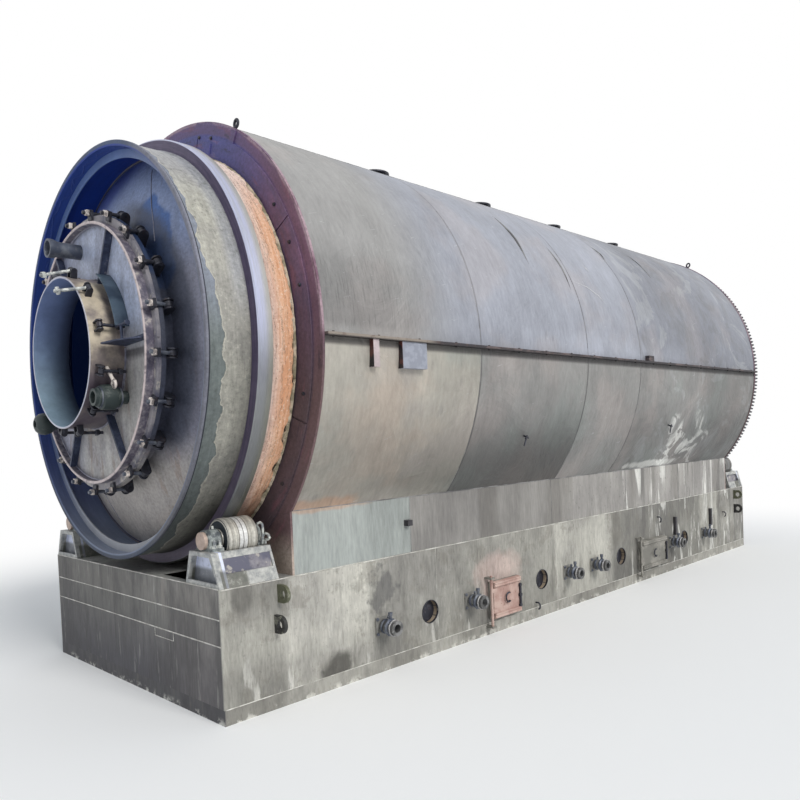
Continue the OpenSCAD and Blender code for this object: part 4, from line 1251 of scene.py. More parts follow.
class ReactorStage(bpy.types.Operator):
    """The floor, lamps and camera"""

    bl_idname = "reactor.stage"
    bl_label = "Stage"

    def execute(self, context):
        colours = context.scene.reactor_colours
        self.floor(colours)
        self.world(context.scene, colours)
        self.lamps()
        self.camera(context.scene)
        context.scene.view_settings.view_transform = "Standard"
        return {"FINISHED"}

    def floor(self, colours):
        """A floor that fades to white, where it is seen, away from the machine."""
        corners = [(-REACH, -REACH, 0), (REACH, -REACH, 0), (REACH, REACH, 0), (-REACH, REACH, 0)]
        mesh = bpy.data.meshes.new("studio_floor")
        mesh.from_pydata(corners, [], [[0, 1, 2, 3]])
        f = Finish("studio_floor")
        far = (f.x * f.x + f.y * f.y) ** 0.5
        matt = f.node("ShaderNodeBsdfDiffuse", {}, {"Color": (*colours.floor, 1.0)})
        white = f.node("ShaderNodeEmission", {}, {"Color": WHITE, "Strength": 1.0})
        share = f.seen() * far.ramp(*FADE) * 0.999
        both = f.node("ShaderNodeMixShader", {}, {0: share, 1: matt, 2: white})
        f.node("ShaderNodeOutputMaterial", {}, {"Surface": both})
        mesh.materials.append(f.owner)
        floor = placed("studio_floor", mesh)

    def world(self, scene, colours):
        """White where it is seen, and soft light from all round."""
        scene.world = bpy.data.worlds.new("studio")
        graph = Graph(scene.world)
        soft = graph.node("ShaderNodeBackground", {}, {"Color": (*colours.sky, 1.0), "Strength": SKY_LIGHT})
        white = graph.node("ShaderNodeBackground", {}, {"Color": WHITE, "Strength": 1.0})
        both = graph.node("ShaderNodeMixShader", {}, {0: graph.seen(), 1: soft, 2: white})
        graph.node("ShaderNodeOutputWorld", {}, {"Surface": both})

    def lamps(self):
        """Two suns: a wide one from the right and a faint one from the front."""
        for name, towards, strength, softness, colour in SUNS:
            lamp = bpy.data.lights.new(name, "SUN")
            lamp.energy = strength
            lamp.angle = math.radians(softness)
            lamp.color = colour
            holder = placed(name, lamp)
            holder.rotation_mode = "QUATERNION"
            holder.rotation_quaternion = Vector(towards).to_track_quat("Z", "Y")
            holder.location = Vector(towards) * 20

    def camera(self, scene):
        """The camera, at eye height off the right front corner."""
        azimuth, pitch, roll = (math.radians(a) for a in CAMERA_TURN)
        level = math.cos(pitch)
        forward = Vector((-math.sin(azimuth) * level, math.cos(azimuth) * level, math.sin(pitch)))
        right = Vector((math.cos(azimuth), math.sin(azimuth), 0))
        up = right.cross(forward)
        x = math.cos(roll) * right + math.sin(roll) * up
        y = math.cos(roll) * up - math.sin(roll) * right
        lens = bpy.data.cameras.new("camera")
        lens.lens = LENS
        lens.sensor_width = 36.0
        lens.shift_x, lens.shift_y = LENS_SHIFT
        camera = placed("camera", lens)
        axes = Matrix((x, y, -forward)).transposed()
        camera.matrix_world = at(*CAMERA_PLACE) @ axes.to_4x4()
        scene.camera = camera


# ---- pieces: base and casing ----

PATCH = (0.40, 0.64, 0.392, 0.440)  # x and z limits of the patch on the front wall
END_SEAMS = (0.597, 0.446)  # heights of the weld lines across the end walls
FLANK_SEAMS = (0.47, 1.76, 3.30, 5.02, 6.72)  # stations of the upright weld lines of the flanks
WALL_SEAMS = (1.515, 3.25, 4.55, 5.72)  # and of the walls above the deck


class ReactorBase(bpy.types.Operator):
    """The base: plate finishes, weld seams and the skirt"""

    bl_idname = "reactor.base"
    bl_label = "Base"

    def execute(self, context):
        bead = context.scene.reactor_sizes.weld
        dress(["base_frame"], "skirt_steel")
        dress(["end_walls", "decks"], "base_steel")
        dress(["pedestals"], "pedestal_steel")
        self.pedestal_backs()
        dress(["right_wall", "left_wall"], "flank_steel")
        dress(["upper_walls"], "wall_steel")
        dress(["hearth", "side_linings", "end_linings"], "firebrick")
        dress(["casing_lining"], "fibre_lining")
        self.end_seams(bead)
        self.flank_seams(bead)
        return {"FINISHED"}

    def pedestal_backs(self):
        """The plates behind the pedestals' windows."""
        backs = Mould()
        corners = [v.co for v in frame["nodes"]["pedestals"].data.vertices]
        top = max(c.z for c in corners)
        narrow = max(c.x for c in corners if c.z > top - 0.002)
        inner = max(c.y for c in corners if c.y < 0) - FRONT
        slope = (narrow - HALF_W) / (top - DECK_Z)
        z0, z1 = DECK_Z + 0.03, top - 0.025
        x0, x1 = [HALF_W - 0.021 + slope * (z - DECK_Z) for z in (z0, z1)]
        for side in (1, -1):
            for s0, s1 in ((0.072, inner - 0.015), (LENGTH - inner + 0.015, LENGTH - 0.072)):
                quad = [(x0, z0), (x0 - 0.003, z0), (x1 - 0.003, z1), (x1, z1)]
                points = [(side * x, FRONT + s, z) for s in (s0, s1) for x, z in quad]
                sides = [[i, 4 + i, 4 + (i + 1) % 4, (i + 1) % 4] for i in range(4)]
                backs.add(points, [[0, 1, 2, 3], [7, 6, 5, 4]] + sides)
        make("pedestal_backs", backs, "furnace", "pale_plate")

    def end_seams(self, bead):
        """The weld lines across the two end walls, and their patch."""
        lines = Mould()
        edge = HALF_W - 0.01
        for face in (FRONT + 0.001, REAR - 0.001):
            for z, share in (*((z, 0.8) for z in END_SEAMS), (DECK_Z, 0.7)):
                lines.bead(line((-edge, face, z), (edge, face, z), 60), bead * share)
        x0, x1, z0, z1 = PATCH
        corners = [(x0, z1), (x0, z0), (x1, z0), (x1, z1)]
        for (xa, za), (xb, zb) in zip(corners, corners[1:]):
            lines.bead(line((xa, FRONT + 0.001, za), (xb, FRONT + 0.001, zb), 20), bead * 0.6)
        make("end_wall_welds", lines, "furnace", "weld_metal")

    def flank_seams(self, bead):
        """The horizontal and upright weld lines of the flanks."""
        lines, grime = Mould(), Mould()
        shell = [FRONT + s for s in SHELL_S]
        for x in (-HALF_W, HALF_W):
            for z, share in ((DECK_Z - 0.006, 0.8), (SKIRT_TOP, 0.6)):
                lines.bead(line((x, FRONT + 0.01, z), (x, REAR - 0.01, z), 240), bead * share)
            grime.bead(line((x, shell[0], WALL_TOP), (x, shell[1], WALL_TOP), 200), bead * 0.8)
            for s in FLANK_SEAMS:
                lines.bead(line((x, FRONT + s, SKIRT_TOP), (x, FRONT + s, DECK_Z), 24), bead * 0.3)
            for s in WALL_SEAMS:
                grime.bead(line((x, FRONT + s, DECK_Z), (x, FRONT + s, WALL_TOP), 16), bead * 0.4)
        make("flank_welds", lines, "furnace", "weld_metal")
        make("wall_top_joints", grime, "furnace", "dark_seam")


JOINTS = (1.90, 3.30, 4.21)  # stations of the beads between the casing's sheets
BENT_RODS = ((2.55, 1.55), (4.97, 1.59))  # station and height of each
# Creases in the crown: station and angle of both ends, and the radius in the middle.
CREASES = (
    (2.75, 48, 2.74, 26, 0.012), (3.21, 37, 3.23, 20, 0.009), (4.22, 46, 4.23, 38, 0.008),
    (5.0, 49, 5.03, 34, 0.007),
)
# Scrapes in the crown: station and angle of their corners.
SCRAPES = (
    ((3.64, 32.3), (3.72, 29.6)),
    ((3.30, 24.3), (3.52, 22.9), (3.66, 20.5), (3.75, 17.9)),
)


class ReactorCasing(bpy.types.Operator):
    """The furnace casing: plate joints, the bolted split flange, stubs and eyes"""

    bl_idname = "reactor.casing"
    bl_label = "Casing"

    def execute(self, context):
        sizes = context.scene.reactor_sizes
        dress(["casing_crown", "casing_sides"], "casing_steel")
        dress(["split_flanges"], "flange_steel")
        dress(["flue_stubs"], "dark_iron")
        dress(["flank_fittings"], "tab_steel")
        dress(["tie_lugs"], "lug_iron")
        self.plate_joints(sizes.weld)
        self.wear()
        self.flange_bolts(sizes)
        self.bent_stubs()
        self.lifting_eyes()
        return {"FINISHED"}

    def plate_joints(self, bead):
        """Beads round the casing between its sheets, and two along the crown."""
        lines = Mould()
        foot = math.degrees(math.asin((WALL_TOP - AXIS_Z) / CASING_R))
        for s in JOINTS:
            for a0, a1 in ((foot + 0.5, -0.5), (2.0, 40.0), (140.0, 178.0), (180.5, 179.5 - foot)):
                lines.bead(arc(CASING_R - 0.002, s, a0, a1, 90), bead * 0.7)
        for angle in (62.0, 118.0):
            a = math.radians(angle)
            x, z = CASING_R * math.cos(a), AXIS_Z + CASING_R * math.sin(a)
            lines.bead(line((x, FRONT + SHELL_S[0], z), (x, FRONT + SHELL_S[1], z), 300), bead * 0.4)
        make("casing_joints", lines, "furnace", "dark_seam")

    def wear(self):
        """Creases in the crown's sheets, and marks scraped in them."""
        creases, scrapes = Mould(), Mould()
        for turn in (1, -1):
            for s0, a0, s1, a1, r in CREASES:
                path = self.on_crown([(s0, a0), ((s0 + s1) / 2 + 0.02, (a0 + a1) / 2), (s1, a1)], turn)
                creases.swept(path, lambda t: r * math.sin(math.pi * min(max(t, 0.03), 0.97)), 8)
            for marks in SCRAPES:
                path = self.on_crown(marks, turn)
                scrapes.swept(path, lambda t: 0.005 * math.sin(math.pi * min(max(t, 0.05), 0.95)), 6)
        make("crown_creases", creases, "furnace", "dark_seam")
        make("crown_scrapes", scrapes, "furnace", "pale_mark")

    def on_crown(self, stops, turn):
        """A path on the casing through places given as station and angle."""
        path = []
        for (s0, a0), (s1, a1) in zip(stops, stops[1:]):
            for i in range(16):
                a = math.radians(a0 + (a1 - a0) * i / 16)
                x, z = CASING_R * math.cos(a) * turn, AXIS_Z + CASING_R * math.sin(a)
                path.append((x, FRONT + s0 + (s1 - s0) * i / 16, z))
        return path

    def flange_bolts(self, sizes):
        """Bolts along the split flange, above and below, and a block standing on it."""
        heads = Mould()
        count = int((SHELL_S[1] - SHELL_S[0] - 0.1) / sizes.flange_pitch)
        top, under = high("split_flanges", "z"), low("split_flanges", "z")
        for side in (1, -1):
            for i in range(count + 1):
                s = SHELL_S[0] + 0.05 + i * sizes.flange_pitch
                x = side * (SPLIT_X - 0.018)
                heads.bolt(sizes.flange_bolt, at(x, s, top))
                heads.bolt(sizes.flange_bolt, at(x, s, under) @ Matrix.Rotation(math.pi, 4, "X"))
        for turn in BOTH:
            heads.box(SPLIT_X - 0.045, SPLIT_X - 0.002, FRONT + 4.30, FRONT + 4.40, top, top + 0.05, turn)
        make("split_flange_bolts", heads, "furnace", "flange_steel")

    def bent_stubs(self):
        """The small bent rods on the lower casing."""
        stubs = Mould()
        for side in (1, -1):
            for s, z in BENT_RODS:
                a = math.asin((z - AXIS_Z) / CASING_R)
                out = Vector((side * math.cos(a), 0, math.sin(a)))
                root = Vector((0, FRONT + s, AXIS_Z)) + out * (CASING_R - 0.004)
                bend = root + out * 0.06 + Vector((0, -0.03, 0.02))
                stubs.swept([root, root + out * 0.05, bend, bend + Vector((0, -0.02, -0.02))], 0.007, 10)
                stubs.swept([bend, bend + Vector((0, -0.04, -0.075))], 0.006, 10)
        make("bent_rods", stubs, "furnace", "dark_iron")

    def lifting_eyes(self):
        """Open rings of bar standing on brackets at the end plates' edges."""
        rings, brackets = Mould(), Mould()
        top = EYE_TOP - CASING_R
        for s, out in ((PLATE_S[0], -1), (PLATE_S[1], 1)):
            for angle in (EYE_ANGLE, 180 - EYE_ANGLE):
                place = turned_to(angle, s - out * 0.008, CASING_R)
                loop = [(top / 2 + (top / 2 - 0.010) * cos, 0, 0.020 * sin) for cos, sin in fan(0, 345, 23)]
                rings.swept([place @ Vector(p) for p in loop], 0.009, 12, closed=True)
                y0, y1 = sorted((out * 0.009, out * 0.017))
                brackets.box(-0.085, -0.004, y0, y1, -0.040, 0.022, place)
        make("lifting_rings", rings, "furnace", "dark_iron")
        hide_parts("lifting_eyes")
        make("lifting_brackets", brackets, "furnace", "primer_plate", bevel=0.001)


# Angle and distance from the axis of each bolt of a cover ring's right half.
COVER_BOLTS = (
    (75, 1.488), (69, 1.488), (33.6, 1.44), (22.4, 1.44), (11.5, 1.44), (-13.6, 1.44), (-37, 1.44),
)


class ReactorEndPlates(bpy.types.Operator):
    """The end plates' segmented cover rings, their bolts and joints"""

    bl_idname = "reactor.end_plates"
    bl_label = "End plates"

    def execute(self, context):
        sizes = context.scene.reactor_sizes
        dress(["end_plates"], "primer_plate")
        self.rings(sizes)
        self.joints(sizes.weld)
        return {"FINISHED"}

    def rings(self, sizes):
        """The cover rings in segments, and their bolts."""
        outer = max(AXIS_Z - low("cover_rings", "z"), high("cover_rings", "z") - AXIS_Z)
        inner = PLATE_HOLE_R
        thick = 0.008
        gap = 0.18  # half the gap between two segments, in degrees
        front, rear = COVER_RING_S
        cut = math.degrees(math.asin((DECK_Z + 0.004 - AXIS_Z) / outer))
        joints = [cut, -20.0, 28.0, 76.0, 104.0, 152.0, 200.0, 180.0 - cut]
        plates, bolts = Mould(), Mould()
        for s, out in ((front, -1), (rear - thick, 1)):
            for a0, a1 in zip(joints, joints[1:]):
                profile = oblong(inner, outer, 0, thick)
                plates.turned(profile, on_axis(s), -a1 + gap, a1 - a0 - 2 * gap, 40)
            face, turn = (s, FORWARD) if out < 0 else (s + thick, ALONG)
            for angle, r in COVER_BOLTS + tuple((180 - a, r) for a, r in COVER_BOLTS):
                bolts.bolt(sizes.cover_bolt, turned_to(angle, face, r) @ turn)
        make("cover_ring_plates", plates, "furnace", "primer_plate", bevel=0.0015)
        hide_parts("cover_rings")
        make("cover_ring_bolts", bolts, "furnace", "dark_iron")

    def joints(self, bead):
        """The apron's joints, and the small bracket near the crown."""
        lines = Mould()
        z = WALL_TOP - 0.012
        for s in PLATE_S:
            for side in (1, -1):
                lines.bead(line((side * 1.035, FRONT + s, z), (side * HALF_W, FRONT + s, z), 12), bead * 0.6)
        make("apron_joints", lines, "furnace", "primer_plate")
        bracket = Mould()
        place = turned_to(70, PLATE_S[0] - 0.008, 1.405)
        bracket.box(-0.05, 0.05, -0.010, 0.0, -0.035, 0.035, place)
        bracket.box(-0.05, -0.035, -0.035, 0.0, -0.035, 0.035, place)
        make("crown_bracket", bracket, "furnace", "primer_plate", bevel=0.002)


# ---- pieces: drum ----

TURNS = 288  # steps round the drum's large rings
RIM_WALL = 0.035
HEAD_SEAM = ((0.35, 1.16), (0.56, 0.75), (0.61, 0.62))  # x and rise of the corners of the head's weld


class ReactorDrum(bpy.types.Operator):
    """The drum: rim, riding rings, heads and shell"""

    bl_idname = "reactor.drum"
    bl_label = "Drum"

    def execute(self, context):
        dress(["drum_shell"], "drum_steel")
        dress(["drum_head", "rear_head", "gas_outlet"], "head_steel")
        dress(["girth_gear"], "dark_iron", 20)
        self.rim()
        self.riding_rings()
        self.head_seams(context.scene.reactor_sizes.weld)
        self.outlet_bolts()
        return {"FINISHED"}

    def rim(self):
        """The rim is a rolled band with a thicker lip."""
        inner = RIM_R - RIM_WALL
        lip = 0.014
        s0, s1 = RIM_S
        profile = [
            (inner, s0 + 0.004), (inner + 0.006, s0), (RIM_R - 0.003, s0), (RIM_R, s0 + 0.003),
            (RIM_R, s0 + lip), (RIM_R - 0.010, s0 + lip + 0.004), (RIM_R - 0.008, s1 - 0.03),
            (RIM_R - 0.002, s1 - 0.02), (RIM_R - 0.002, s1), (inner, s1), (inner, 0.012),
            (HOOP_R + 0.003, 0.012), (HOOP_R, 0.009), (HOOP_R, 0.003), (HOOP_R + 0.003, 0.0), (inner, 0.0),
        ]
        turn_on_axis("rim_band", profile, TURNS, "band_steel")
        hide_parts("drum_rim")

    def riding_rings(self):
        """Two bands, each with a shallow groove round its running face."""
        rings = Mould()
        bore = high("drum_shell", "x")
        edge = 0.007
        groove, deep = 0.6 * RING_W, RING_R - 0.0015
        for s in (RING_S[0], RING_S[1] - RING_W):
            profile = [
                (bore, 0), (RING_R - edge, 0), (RING_R, edge), (RING_R, groove), (deep, groove + 0.002),
                (deep, groove + 0.006), (RING_R, groove + 0.008), (RING_R, RING_W - edge),
                (RING_R - edge, RING_W), (bore, RING_W),
            ]
            rings.turned(profile, on_axis(s), steps=TURNS)
        make("riding_ring_bands", rings, "drum", "ring_steel")
        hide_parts("riding_rings")

    def head_seams(self, bead):
        """The weld lines between the head's plates, and round its edge."""
        lines = Mould()
        for turn in (1, -1):
            path = []
            for (x0, z0), (x1, z1) in zip(HEAD_SEAM, HEAD_SEAM[1:]):
                for i in range(12):
                    x, z = x0 + (x1 - x0) * i / 12, z0 + (z1 - z0) * i / 12
                    path.append((turn * x, FRONT + dish_station(math.hypot(x, z)), AXIS_Z + turn * z))
            lines.bead(path, bead * 0.8)
        edge = RIM_R - 0.036
        lines.bead(arc(edge - 0.003, RING_S[0] + 0.012, 0, 359, 300), bead * 1.3)
        lines.bead(arc(FLANGE_R - 0.078, dish_station(0.815) - 0.004, 0, 359, 200), bead * 1.2)
        make("head_welds", lines, "drum", "head_weld")

    def outlet_bolts(self):
        """Bolts round the flange of the gas outlet."""
        heads = Mould()
        for i in range(12):
            place = turned_to(15 + 30 * i, OUTLET_S - 0.022, OUTLET_R - 0.03)
            heads.bolt(0.02, place @ FORWARD)
        make("outlet_bolts", heads, "drum", "dark_iron")


class ReactorLining(bpy.types.Operator):
    """The scorched fibre packed round the drum's ends, and its torn edges"""

    bl_idname = "reactor.lining"
    bl_label = "Fibre packing"

    def execute(self, context):
        sizes = context.scene.reactor_sizes
        outer = high("drum_wraps", "x") - 0.001
        bore = high("drum_shell", "x")
        ends = (
            ("front_fibre_packing", RING_S[0] + RING_W, COVER_RING_S[0] - 0.007, 1),
            ("rear_fibre_packing", RING_S[1] - RING_W, station(high("girth_gear", "y")), -1),
        )
        for name, s0, s1, way in ends:
            self.packing(name, s0 + way * 0.002, s1 - way * 0.002, outer, bore, sizes)
        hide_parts("drum_wraps")
        self.torn_edge(ends[0][2], outer, sizes.seed)
        return {"FINISHED"}

    def packing(self, name, s0, s1, outer, bore, sizes):
        """A sleeve whose face is pitted and whose far edge wanders."""
        rows, columns = 26, 640
        points = []
        for i in range(columns):
            a = 2 * math.pi * i / columns
            round_x, round_z = math.cos(a), math.sin(a)
            wander = noise.noise((round_x * 9, round_z * 9, sizes.seed))
            wander += 0.6 * noise.noise((round_x * 31, round_z * 31, 2))
            end = s1 + (s0 - s1) * 0.16 * max(0.0, 0.5 + wander)
            for j in range(rows):
                t = j / (rows - 1)
                s = s0 + (end - s0) * t
                lump = noise.noise((round_x * 14, round_z * 14, s * 26))
                lump += 0.5 * noise.noise((round_x * 60, round_z * 60, s * 60))
                layer = 0.15 * noise.noise((round_x * 3, round_z * 3, s * 90))
                r = outer - sizes.fray * max(0.0, 0.35 + lump * 0.6 + layer)
                if j in (0, rows - 1):
                    r -= 0.012
                points.append((r * round_x, FRONT + s, AXIS_Z + r * round_z))
            points.append((bore * round_x, FRONT + end, AXIS_Z + bore * round_z))
            points.append((bore * round_x, FRONT + s0, AXIS_Z + bore * round_z))
        n = rows + 2
        faces = []
        for i in range(columns):
            k = (i + 1) % columns
            faces += [[i * n + j, i * n + (j + 1) % n, k * n + (j + 1) % n, k * n + j] for j in range(n)]
        sleeve = Mould()
        sleeve.add(points, faces)
        make(name, sleeve, "drum", "orange_fibre", smooth=70)

    def torn_edge(self, s1, outer, seed):
        """A ragged strip of blanket beside the front cover ring, cracked along its inner side."""
        columns = 900
        points, faces = [], []
        for i in range(columns):
            a = 2 * math.pi * i / columns
            x, z = math.cos(a), math.sin(a)
            rag = noise.noise((x * 22, z * 22, seed)) + 0.7 * noise.noise((x * 80, z * 80, seed))
            depth = 0.015 + 0.016 * max(-0.7, rag)
            crack = 0.014 * max(0.0, noise.noise((x * 12, z * 12, seed + 3)) * 1.6 - 0.25)
            sag = 0.004 * (1 + noise.noise((x * 50, z * 50, seed + 5)))
            top = outer - sag
            section = [(0.016, depth + 0.004), (crack + 0.002, depth), (0.0, depth * 0.5), (0.001, 0.001)]
            for under, before in section + [(0.016, 0.0)]:
                r = top - under
                points.append((r * x, FRONT + s1 - before, AXIS_Z + r * z))
        for i in range(columns):
            j = (i + 1) % columns
            faces += [[5 * i + k, 5 * i + (k + 1) % 5, 5 * j + (k + 1) % 5, 5 * j + k] for k in range(5)]
        strip = Mould()
        strip.add(points, faces)
        make("torn_fibre_edge", strip, "drum", "torn_fibre", smooth=60)


# ---- pieces: charging door ----

CLAMPS = 20
CLAMP_TURN = 13.0  # angle of the first clamp and the first neck bolt
BOLT_R = FLANGE_R + 0.017  # distance of the clamps' pins from the drum axis
NECK_BOLTS = 12
RAISED = (1, 2)  # the neck bolts that stand out in front
COUPLING = (-34, 0.0, 0.545)  # angle, station and distance of the right coupling


class ReactorDoor(bpy.types.Operator):
    """The charging door: flange, cover rim, ribs, neck and the plates on them"""

    bl_idname = "reactor.door"
    bl_label = "Charging door"

    def execute(self, context):
        bead = context.scene.reactor_sizes.weld
        dress(["door_flange"], "head_steel")
        dress(["neck_ribs"], "navy_plate")
        self.cover()
        self.neck()
        self.welds(bead)
        self.plates()
        return {"FINISHED"}

    def cover(self):
        """The cover's rim, its flange in straight pieces between the clamps, and its disc."""
        place = on_axis()
        inner = COVER_R - 0.018
        s0, s1 = COVER_S, DOOR_S
        profile = [
            (inner, s0 + 0.004), (inner + 0.004, s0), (COVER_R - 0.004, s0), (COVER_R, s0 + 0.004),
            (COVER_R, s1), (inner, s1),
        ]
        turn_on_axis("cover_rim", profile, 200, "worn_rim")
        plates = Mould()
        rest = FLANGE_R - 0.018
        front = s1 - 0.022
        plates.turned(oblong(COVER_R, rest, front, s1), place, steps=200)
        for i in range(CLAMPS):
            start = -CLAMP_TURN - 360 / CLAMPS * i + 1.2
            plates.turned(oblong(rest, FLANGE_R, front, s1), place, start, 360 / CLAMPS - 2.4, 2)
        make("cover_flange_plates", plates, "drum", "pale_plate", bevel=0.001)
        s0 = s1 - 0.026
        disc = oblong(NECK_R, COVER_R - 0.010, s0, s0 + 0.016)
        turn_on_axis("cover_disc", disc, 200, "cover_steel")
        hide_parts("door_cover")

    def neck(self):
        """The feed neck as one tube with rounded lips."""
        wall = 0.012
        s0, s1 = NECK_S, DOOR_S - 0.010
        profile = [
            (NECK_R - wall, s0 + 0.002), (NECK_R - wall + 0.002, s0), (NECK_R - 0.002, s0),
            (NECK_R, s0 + 0.002), (NECK_R, s1), (NECK_R - wall, s1),
        ]
        turn_on_axis("neck_tube", profile, 160, "neck_steel")
        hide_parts("feed_neck")

    def welds(self, bead):
        """The beads at the foot of the neck and inside the cover's rim."""
        lines = Mould()
        lines.bead(arc(NECK_R + 0.004, DOOR_S - 0.030, 0, 359, 160), bead * 1.4)
        lines.bead(arc(COVER_R - 0.022, DOOR_S - 0.029, 0, 359, 220), bead * 1.2)
        make("cover_welds", lines, "drum", "head_weld")

    def plates(self):
        """A curved guard plate beside the neck, and the shelf bracket on the rib near 0 degrees."""
        guard = Mould()
        profile = oblong(NECK_R + 0.075, NECK_R + 0.081, -0.215, DOOR_S - 0.027)
        guard.turned(profile, on_axis(), -56.0, 44.0, 30)
        make("neck_guard", guard, "drum", "guard_teal", bevel=0.001)
        shelf = Mould()
        place = turned_to(2.0, 0.0)
        outline = [(NECK_R + 0.01, DOOR_S - 0.027), (COVER_R - 0.02, DOOR_S - 0.027)]
        outline += [(COVER_R - 0.05, -0.19), (NECK_R + 0.17, -0.26), (NECK_R + 0.03, -0.29)]
        shelf.prism(outline, -0.014, -0.004, place)
        shelf.rod(0.009, 0.105, place @ moved(NECK_R + 0.12, -0.20, -0.01))
        shelf.rod(0.008, 0.15, place @ moved(NECK_R + 0.05, -0.20, 0.092) @ OUT)
        shelf.rod(0.016, 0.018, place @ moved(NECK_R + 0.19, -0.20, 0.092) @ OUT)
        make("rib_shelf", shelf, "drum", "navy_plate", bevel=0.001)


class ReactorClamps(bpy.types.Operator):
    """The swing bolts round the door flange: pivot ears, eye, thread, claw and square nut"""

    bl_idname = "reactor.clamps"
    bl_label = "Door clamps"

    def execute(self, context):
        pick = random.Random(context.scene.reactor_sizes.seed)
        irons, rods, nuts = Mould(), Mould(), Mould()
        for i in range(CLAMPS):
            place = turned_to(CLAMP_TURN + 360 / CLAMPS * i, 0.0)
            lean = Matrix.Rotation(math.radians(pick.uniform(-4, 4)), 4, "X")
            self.lug(irons, place)
            self.bolt(irons, irons if 0 < i < 8 else rods, nuts, place, lean, pick)
        make("clamp_irons", irons, "drum", "dark_iron", bevel=0.0015)
        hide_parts("door_clamps")
        make("clamp_rods", rods, "drum", "pipe_steel")
        make("clamp_nuts", nuts, "drum", "cream_nut", bevel=0.0015)
        return {"FINISHED"}

    def lug(self, irons, place):
        """Two rounded ears and a pin, welded behind the flange."""
        back = DOOR_S + 0.028
        for z in (-0.031, 0.021):
            outline = [(THROAT_R + 0.022, back + 0.062), (THROAT_R + 0.022, back)]
            outline += [(BOLT_R + 0.031 * cos, back + 0.031 + 0.031 * sin) for cos, sin in fan(-90, 90, 10)]
            irons.prism(outline, z, z + 0.010, place)
        pin = place @ moved(BOLT_R, back + 0.031, -0.031)
        irons.rod(0.011, 0.062, pin, 16, 0.002)

    def bolt(self, irons, rods, nuts, place, lean, pick):
        """The eye on the pin, the bolt through the claw, and its square nut."""
        pivot = place @ moved(BOLT_R, DOOR_S + 0.059, 0) @ lean
        irons.rod(0.027, 0.034, pivot @ moved(0, 0, -0.017), 20, 0.003)
        forward = pivot @ FORWARD
        rods.rod(0.012, 0.139, forward, 14, 0.002)
        for k in range(9):
            rods.rod(0.0132, 0.0022, forward @ moved(0, 0, 0.094 + 0.0048 * k), 14, 0.0008)
        front = DOOR_S - 0.038
        claw = place @ moved(COVER_R + 0.016, front, 0)
        outline = [(0, 0.003), (0.010, 0), (0.064, 0), (0.064, 0.016), (0, 0.016)]
        irons.prism(outline, -0.026, 0.026, claw)
        seat = place @ moved(BOLT_R, front, 0) @ FORWARD
        irons.rod(0.022, 0.004, seat, 24, 0.001)
        spin = Matrix.Rotation(math.radians(pick.uniform(-25, 25)), 4, "Z")
        nuts.polygon_bar(4, 0.035, 0.022, seat @ moved(0, 0, 0.004) @ spin)


class ReactorNeckBolts(bpy.types.Operator):
    """The swing bolts round the feed neck, some fallen forward and some back"""

    bl_idname = "reactor.neck_bolts"
    bl_label = "Neck bolts"

    def execute(self, context):
        irons, nuts = Mould(), Mould()
        r = NECK_R + 0.045
        for i in range(NECK_BOLTS):
            place = turned_to(CLAMP_TURN + 360 / NECK_BOLTS * i, NECK_S + 0.050)
            for z in (-0.031, 0.021):
                outline = [(NECK_R - 0.001, 0.019), (NECK_R - 0.001, -0.019)]
                outline += [(r + 0.019 * cos, 0.019 * sin) for cos, sin in fan(-90, 90, 8)]
                irons.prism(outline, z, z + 0.010, place)
            irons.rod(0.009, 0.062, place @ moved(r, 0, -0.031), 14, 0.0015)
            self.rod(irons, nuts, place @ moved(r, 0, 0), i)
        make("neck_bolt_irons", irons, "drum", "dark_iron", bevel=0.001)
        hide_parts("neck_bolts")
        make("neck_bolt_nuts", nuts, "drum", "pale_iron", bevel=0.001)
        return {"FINISHED"}

    def rod(self, irons, nuts, pivot, i):
        """The eye bolt of one pair of ears. Two near the top stand out in front, leaning inward."""
        raised = i in RAISED
        lean, length = (-16.0, 0.194) if raised else (180.0, 0.149)
        pivot = pivot @ Matrix.Rotation(math.radians(lean), 4, "Z")
        irons.rod(0.018, 0.030, pivot @ moved(0, 0, -0.015), 18, 0.002)
        forward = pivot @ FORWARD
        kind = nuts if raised else irons
        kind.rod(0.010, length, forward, 12, 0.001)
        kind.polygon_bar(4, 0.033, 0.024, forward @ moved(0, 0, length - 0.034 if raised else 0.1))


